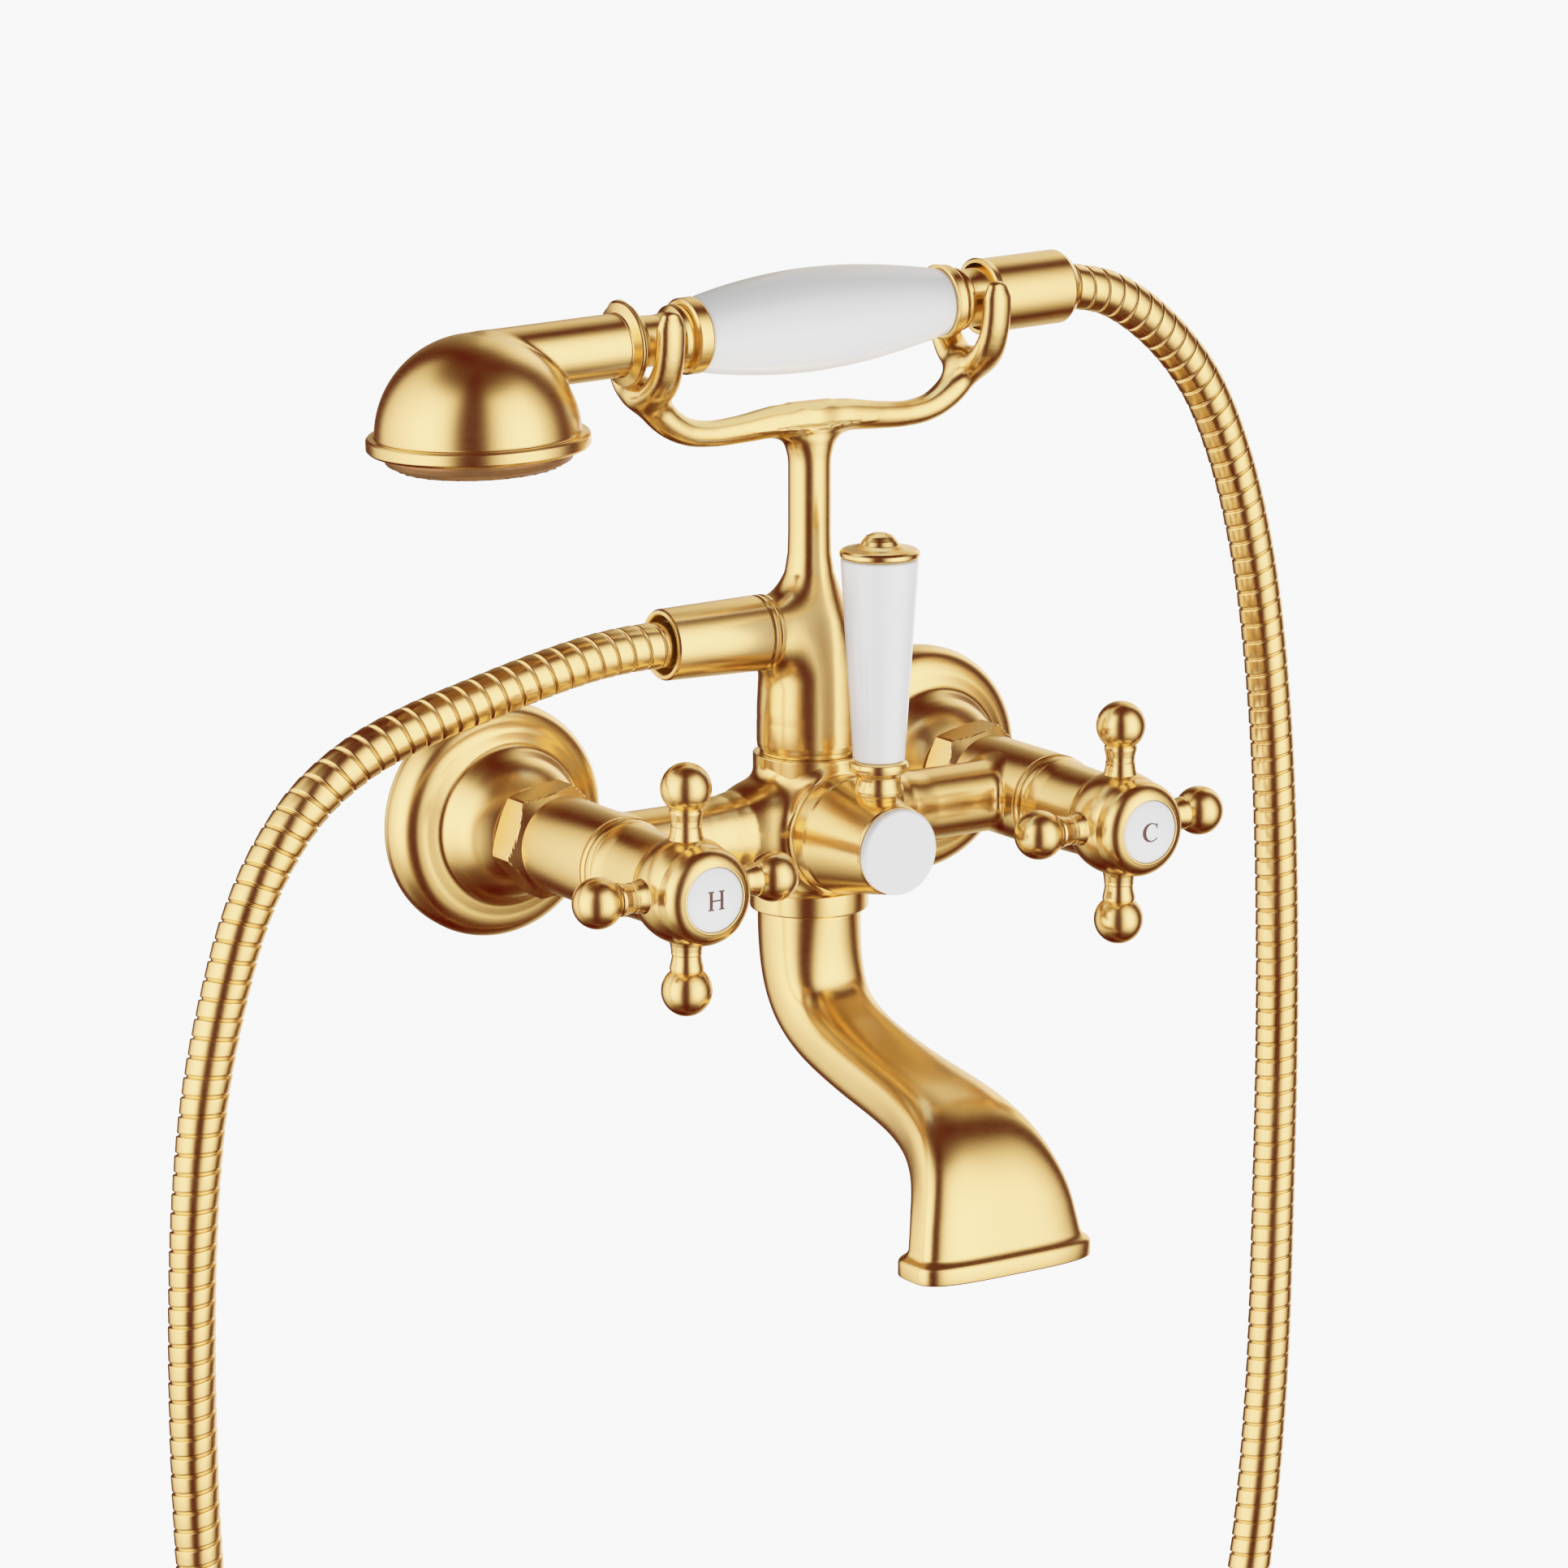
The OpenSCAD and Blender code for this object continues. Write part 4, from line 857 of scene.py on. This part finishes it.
def make_turned():
    """Flanges, union nuts, bonnets, handles, the diverter's parts and the handset."""
    gold = GOLD_SLOT
    for side, word in ((-1, "hot"), (1, "cold")):
        at_wall, at_valve = (side * VALVE_X, 0, 0), (side * VALVE_X, DATUM_Y, 0)
        face = smooth_line([(31, 3), (33.2, 0.02), (34.6, 0.02)] + FLANGE_FACE, 0.45)
        shell = [tuple(point) for point in face] + FLANGE_BACK
        turned(f"flange_{word}", "mixer", gold, gold_y, shell, "-y", at_wall,
               (f"wall_flange_{word}",), sides=160)
        nut = placed(hex_nut(NUT_LOW, NUT_HIGH, NUT_FLAT, NUT_TWIST), "-y", at_valve)
        add_mesh(f"union_nut_skin_{word}", *nut, "mixer", gold, gold_y, (f"union_nut_{word}",), smooth=False)
        turned(f"bonnet_{word}", "mixer", gold, gold_y, BONNET, "-y", at_valve, (f"{word}_bonnet",))
        hub = lathe(rounded(HUB), 128)
        arm = lathe(rounded(ARM_TURNED), 72)
        parts = [placed(hub, "-y", at_valve)]
        for step in range(4):
            v, f = arm
            c, sn = math.cos(step * math.pi / 2), math.sin(step * math.pi / 2)
            v = np.stack([v[:, 0] * c - v[:, 2] * sn, v[:, 1], v[:, 0] * sn + v[:, 2] * c], 1)
            parts.append((v + np.array([side * VALVE_X, DATUM_Y - HUB_OUT, 0]), f))
        add_mesh(f"cross_handle_{word}", *join(parts), f"{word}_control", gold, gold_y, (f"{word}_handle",))
        turned(f"index_{word}", f"{word}_control", WHITE_SLOT, porcelain, INDEX, "-y", at_valve,
               (f"{word}_index_disc",))
    front = (0, DATUM_Y, 0)
    lever = (0, LEVER_Y, 0)
    turned("knob", "diverter", gold, gold_y, KNOB, "-y", front, ("diverter_knob",))
    turned("button", "diverter", WHITE_SLOT, porcelain, BUTTON, "-y", front, ("diverter_button",))
    turned("lever_stem", "diverter", gold, gold_z, LEVER_STEM, "z", lever, ("diverter_lever_stem",))
    turned("lever_grip", "diverter", WHITE_SLOT, porcelain, GRIP, "z", lever, ("diverter_lever_grip",))
    turned("lever_finial", "diverter", gold, gold_z, FINIAL, "z", lever, ("diverter_lever_finial",))
    for name, look, slot, profile, node in (
            ("neck", gold_x, gold, NECK, "handset_neck"),
            ("ferrule_left", gold_x, gold, FERRULE_LEFT, "handle_ferrule_left"),
            ("handle_grip", porcelain, WHITE_SLOT, HANDLE, "handset_handle"),
            ("ferrule_right", gold_x, gold, FERRULE_RIGHT, "handle_ferrule_right"),
            ("tail", gold_x, gold, TAIL, "handset_tail"),
            ("hose_nut_upper", gold_x, gold, UPPER_NUT, "upper_hose_nut")):
        turned(name, "handset", slot, look, profile, "x", HANDSET_AT, (node,), HANDSET_TILT)
    turned("hose_nut_lower", "mixer", gold, gold_x, LOWER_NUT, "-x", (-31, BODY_Y, OUTLET_Z),
           ("lower_hose_nut",))
    rim = placed(lathe(rounded(RIM), 192), "z", DOME_AT, HANDSET_TILT)
    shell = skin_field(head_field, (-141, -88, 119), (-63, -28, 156.5), CELL)
    add_mesh("head_dome", *join([shell, rim]), "handset", gold, gold_z, ("head_shell",))
    spray = [placed(lathe(rounded(SPRAY), 192), "z", DOME_AT, HANDSET_TILT)]
    nozzle = lathe(rounded(NOZZLE), 20)
    radii, heights = np.array(SPRAY_CURVE).T
    for loop in range(1, NOZZLE_LOOPS + 1):
        count, r = loop * NOZZLES_A_LOOP, loop * LOOP_STEP
        low = np.interp(r, radii, heights) + NOZZLE_SUNK
        for a in np.arange(count) * 2 * math.pi / count:
            v, f = nozzle
            v = v + np.array([r * math.cos(a), r * math.sin(a), low])
            spray.append(placed((v, f), "z", DOME_AT, HANDSET_TILT))
    add_mesh("spray_plate", *join(spray), "handset", "bronze_face", bronze, ("spray_face",))


make_turned()


# ---------------------------------------------------------------- index letters
def stroke(points, width):
    """A flat stroke of varying width along points, in the letter's plane, as rows of two points."""
    p = np.asarray(points, float)
    d = unit(np.gradient(p, axis=0))
    n = np.stack([-d[:, 1], d[:, 0]], 1)
    w = np.asarray(width, float)[:, None] / 2 * np.ones((len(p), 1))
    return p + n * w, p - n * w


def bar(x0, z0, x1, z1, w):
    """A straight stroke of one width."""
    return stroke(np.linspace((x0, z0), (x1, z1), 12), np.full(12, w))


LETTER_PROUD, LETTER_THICK = 0.05, 0.25
STEM_X = 1.75  # the H's stems, either side of its middle


def make_letters():
    """One generic serif letter on each index disc: H for hot and C for cold."""
    sheets = {"hot": [bar(-STEM_X, -2.6, -STEM_X, 2.6, 0.95), bar(STEM_X, -2.6, STEM_X, 2.6, 0.95),
                      bar(-STEM_X, 0, STEM_X, 0, 0.42)] +
                     [bar(x - 0.95, z, x + 0.95, z, 0.36) for x in (-STEM_X, STEM_X) for z in (-2.55, 2.55)]}
    a = np.radians(np.linspace(48, 312, 60))
    c_line = np.stack([2.55 * np.cos(a), 2.65 * np.sin(a)], 1)
    c_width = 0.34 + 0.85 * np.clip(-np.cos(a), 0, 1) ** 1.3
    sheets["cold"] = [stroke(c_line, c_width), bar(1.95, 2.55, 1.95, 1.1, 0.4),
                      bar(1.95, -2.1, 1.95, -1.55, 0.2)]
    for side, word in ((-1, "hot"), (1, "cold")):
        parts = []
        for one, other in sheets[word]:
            n = len(one)
            flat = np.vstack([one, other])
            reach = np.hypot(flat[:, 0], flat[:, 1])
            face = INDEX_MID + np.sqrt(INDEX_BOW ** 2 - reach ** 2)
            top = np.stack([flat[:, 0] + side * VALVE_X, DATUM_Y - face - LETTER_PROUD, flat[:, 1]], 1)
            low = top + np.array([0, LETTER_THICK, 0])
            faces = []
            for i in range(n - 1):
                faces.append((i, i + 1, n + i + 1, n + i))
                faces.append((2 * n + i, 3 * n + i, 3 * n + i + 1, 2 * n + i + 1))
                faces.append((i, 2 * n + i, 2 * n + i + 1, i + 1))
                faces.append((n + i, n + i + 1, 3 * n + i + 1, 3 * n + i))
            faces.append((0, n, 3 * n, 2 * n))
            faces.append((n - 1, 3 * n - 1, 4 * n - 1, 2 * n - 1))
            parts.append((np.vstack([top, low]), faces))
        letter = add_mesh(f"letter_{word}", *join(parts), f"{word}_control", WHITE_SLOT, enamel)
        tidy(letter)
        for face in letter.data.polygons:
            face.use_smooth = False


make_letters()


# ---------------------------------------------------------------- studio
FLOOR_Z, FLOOR_REACH = -0.56, 30  # metres
FLOOR_LIFT = 1.9  # how strongly the floor shines, to stay as pale as the sky behind it


def make_floor():
    """A pale floor that the gold doesn't mirror."""
    mesh = bpy.data.meshes.new("floor")
    corners = ((-1, -1), (1, -1), (1, 1), (-1, 1))
    mesh.from_pydata([(x * FLOOR_REACH, y * FLOOR_REACH, FLOOR_Z) for x, y in corners], [], [(0, 1, 2, 3)])
    floor = bpy.data.objects.new("floor", mesh)
    scene.collection.objects.link(floor)

    def build(n, s):
        at = n.stretched((1, 1, 1))
        tone = n.mix(n.noise(at, 0.8, 2.0, 0.5), rgba(0.885, 0.885, 0.885), rgba(0.90, 0.90, 0.90))
        n.tree.links.new(tone, s.inputs["Base Color"])
        s.inputs["Roughness"].default_value = 0.9
        s.inputs["Specular IOR Level"].default_value = 0.0
        s.inputs["Emission Color"].default_value = rgba(1, 1, 1)
        s.inputs["Emission Strength"].default_value = FLOOR_LIFT
    mesh.materials.append(finish("floor_paint", build))
    floor.visible_glossy = False


# How bright the studio is round the horizon, by degrees to the right of the camera's side
RING = [(-180, 0.4), (-165, 0.06), (-143, 0.0), (-128, 0.36), (-107, 0.62), (-85, 0.78), (-55, 0.92),
        (-38, 0.75), (-30, 0.55), (-22, 0.16), (-12, 0.0), (6, 0.0), (13, 0.1), (20, 0.4), (30, 0.68),
        (42, 0.88), (60, 0.92), (80, 0.6), (96, 0.28), (112, 0.0), (124, 0.02), (138, 0.38), (152, 0.7),
        (166, 0.55), (180, 0.4)]
# and how that falls off above and below the horizon
RISE = [(-90, 0.02), (-62, 0.03), (-54, 0.06), (-46, 0.28), (-32, 0.62), (-16, 0.92), (0, 1.0), (16, 1.0),
        (30, 0.92), (42, 0.78), (52, 0.42), (60, 0.12), (68, 0.03), (90, 0.03)]
STUDIO_BRIGHT = (3.25, 2.75, 2.55)
STUDIO_DARK = (0.10, 0.0, 0.0)
SOFT_SIDES, SOFT_TOP = (0.98, 0.995, 1.01), (0.84, 0.85, 0.855)  # what matt surfaces are lit by
PALE = 2.95  # what the camera itself sees behind the object
AMBER = (1, 1, 0.5)  # tints the studio's half shadows
TONE_TOP = 5.0  # the brightest light that the tone curve takes in


def make_world():
    """A studio that glossy rays see in full, matt surfaces as a soft glow and the camera as plain pale."""
    world = bpy.data.worlds.new("studio")
    scene.world = world
    world.use_nodes = True
    world.cycles.sampling_method = "NONE"  # so that each ray sees the part of the studio meant for it
    n = Nodes(world.node_tree)
    way = n.add("ShaderNodeTexCoord").outputs["Generated"]
    turn = math.radians(CAMERA_YAW)

    def dot(direction):
        return n.add("ShaderNodeVectorMath", {0: way, 1: direction}, operation="DOT_PRODUCT").outputs["Value"]

    right = dot((math.cos(turn), math.sin(turn), 0))
    near = dot((math.sin(turn), -math.cos(turn), 0))
    up = dot((0, 0, 1))
    around = n.math("ARCTAN2", right, near)
    rise = n.math("ARCSINE", up)

    def profile(value, table, span):
        """A float curve through (degrees, level) points."""
        node = n.add("ShaderNodeFloatCurve")
        curve = node.mapping.curves[0]
        share = [((d + span) / (2 * span), v) for d, v in table]
        curve.points[0].location, curve.points[-1].location = share[0], share[-1]
        for x, v in share[1:-1]:
            curve.points.new(x, v)
        node.mapping.use_clip = False
        node.mapping.update()
        spread = n.remap(value, -math.radians(span), math.radians(span), 0.0, 1.0)
        n.tree.links.new(spread, node.inputs["Value"])
        return node.outputs[0]

    level = n.math("MULTIPLY", profile(around, RING, 180), profile(rise, RISE, 90), clamp=True)
    gloss = n.mix(level, rgba(*STUDIO_DARK), rgba(*STUDIO_BRIGHT))
    amber = n.mix(n.math("MULTIPLY", level, 1.7, clamp=True), rgba(*AMBER), rgba(1, 1, 1))
    gloss = n.add("ShaderNodeVectorMath", {0: gloss, 1: amber}, operation="MULTIPLY").outputs["Vector"]
    soft = n.mix(n.math("MULTIPLY", up, up), rgba(*SOFT_SIDES), rgba(*SOFT_TOP))
    plain = rgba(PALE, PALE, PALE)
    path = n.add("ShaderNodeLightPath")
    seen = n.mix(path.outputs["Is Glossy Ray"], soft, gloss)
    seen = n.mix(path.outputs["Is Camera Ray"], seen, plain)
    sky = n.add("ShaderNodeBackground", {"Color": seen, "Strength": 1.0})
    out = n.add("ShaderNodeOutputWorld")
    n.tree.links.new(sky.outputs[0], out.inputs[0])


make_floor()
make_world()


def make_tone():
    """A soft film response, 1 - exp(-light), so that bright gold pales towards cream."""
    view = scene.view_settings
    view.view_transform = "Standard"
    view.use_curve_mapping = True
    mapping = view.curve_mapping
    mapping.white_level = (TONE_TOP,) * 3
    curve = mapping.curves[3]
    curve.points[0].location = (0.0, 0.0)
    curve.points[-1].location = (1.0, 1 - math.exp(-TONE_TOP))
    for share in (0.02, 0.05, 0.09, 0.14, 0.2, 0.28, 0.38, 0.5, 0.65, 0.8):
        curve.points.new(share, 1 - math.exp(-TONE_TOP * share))
    mapping.update()


make_tone()
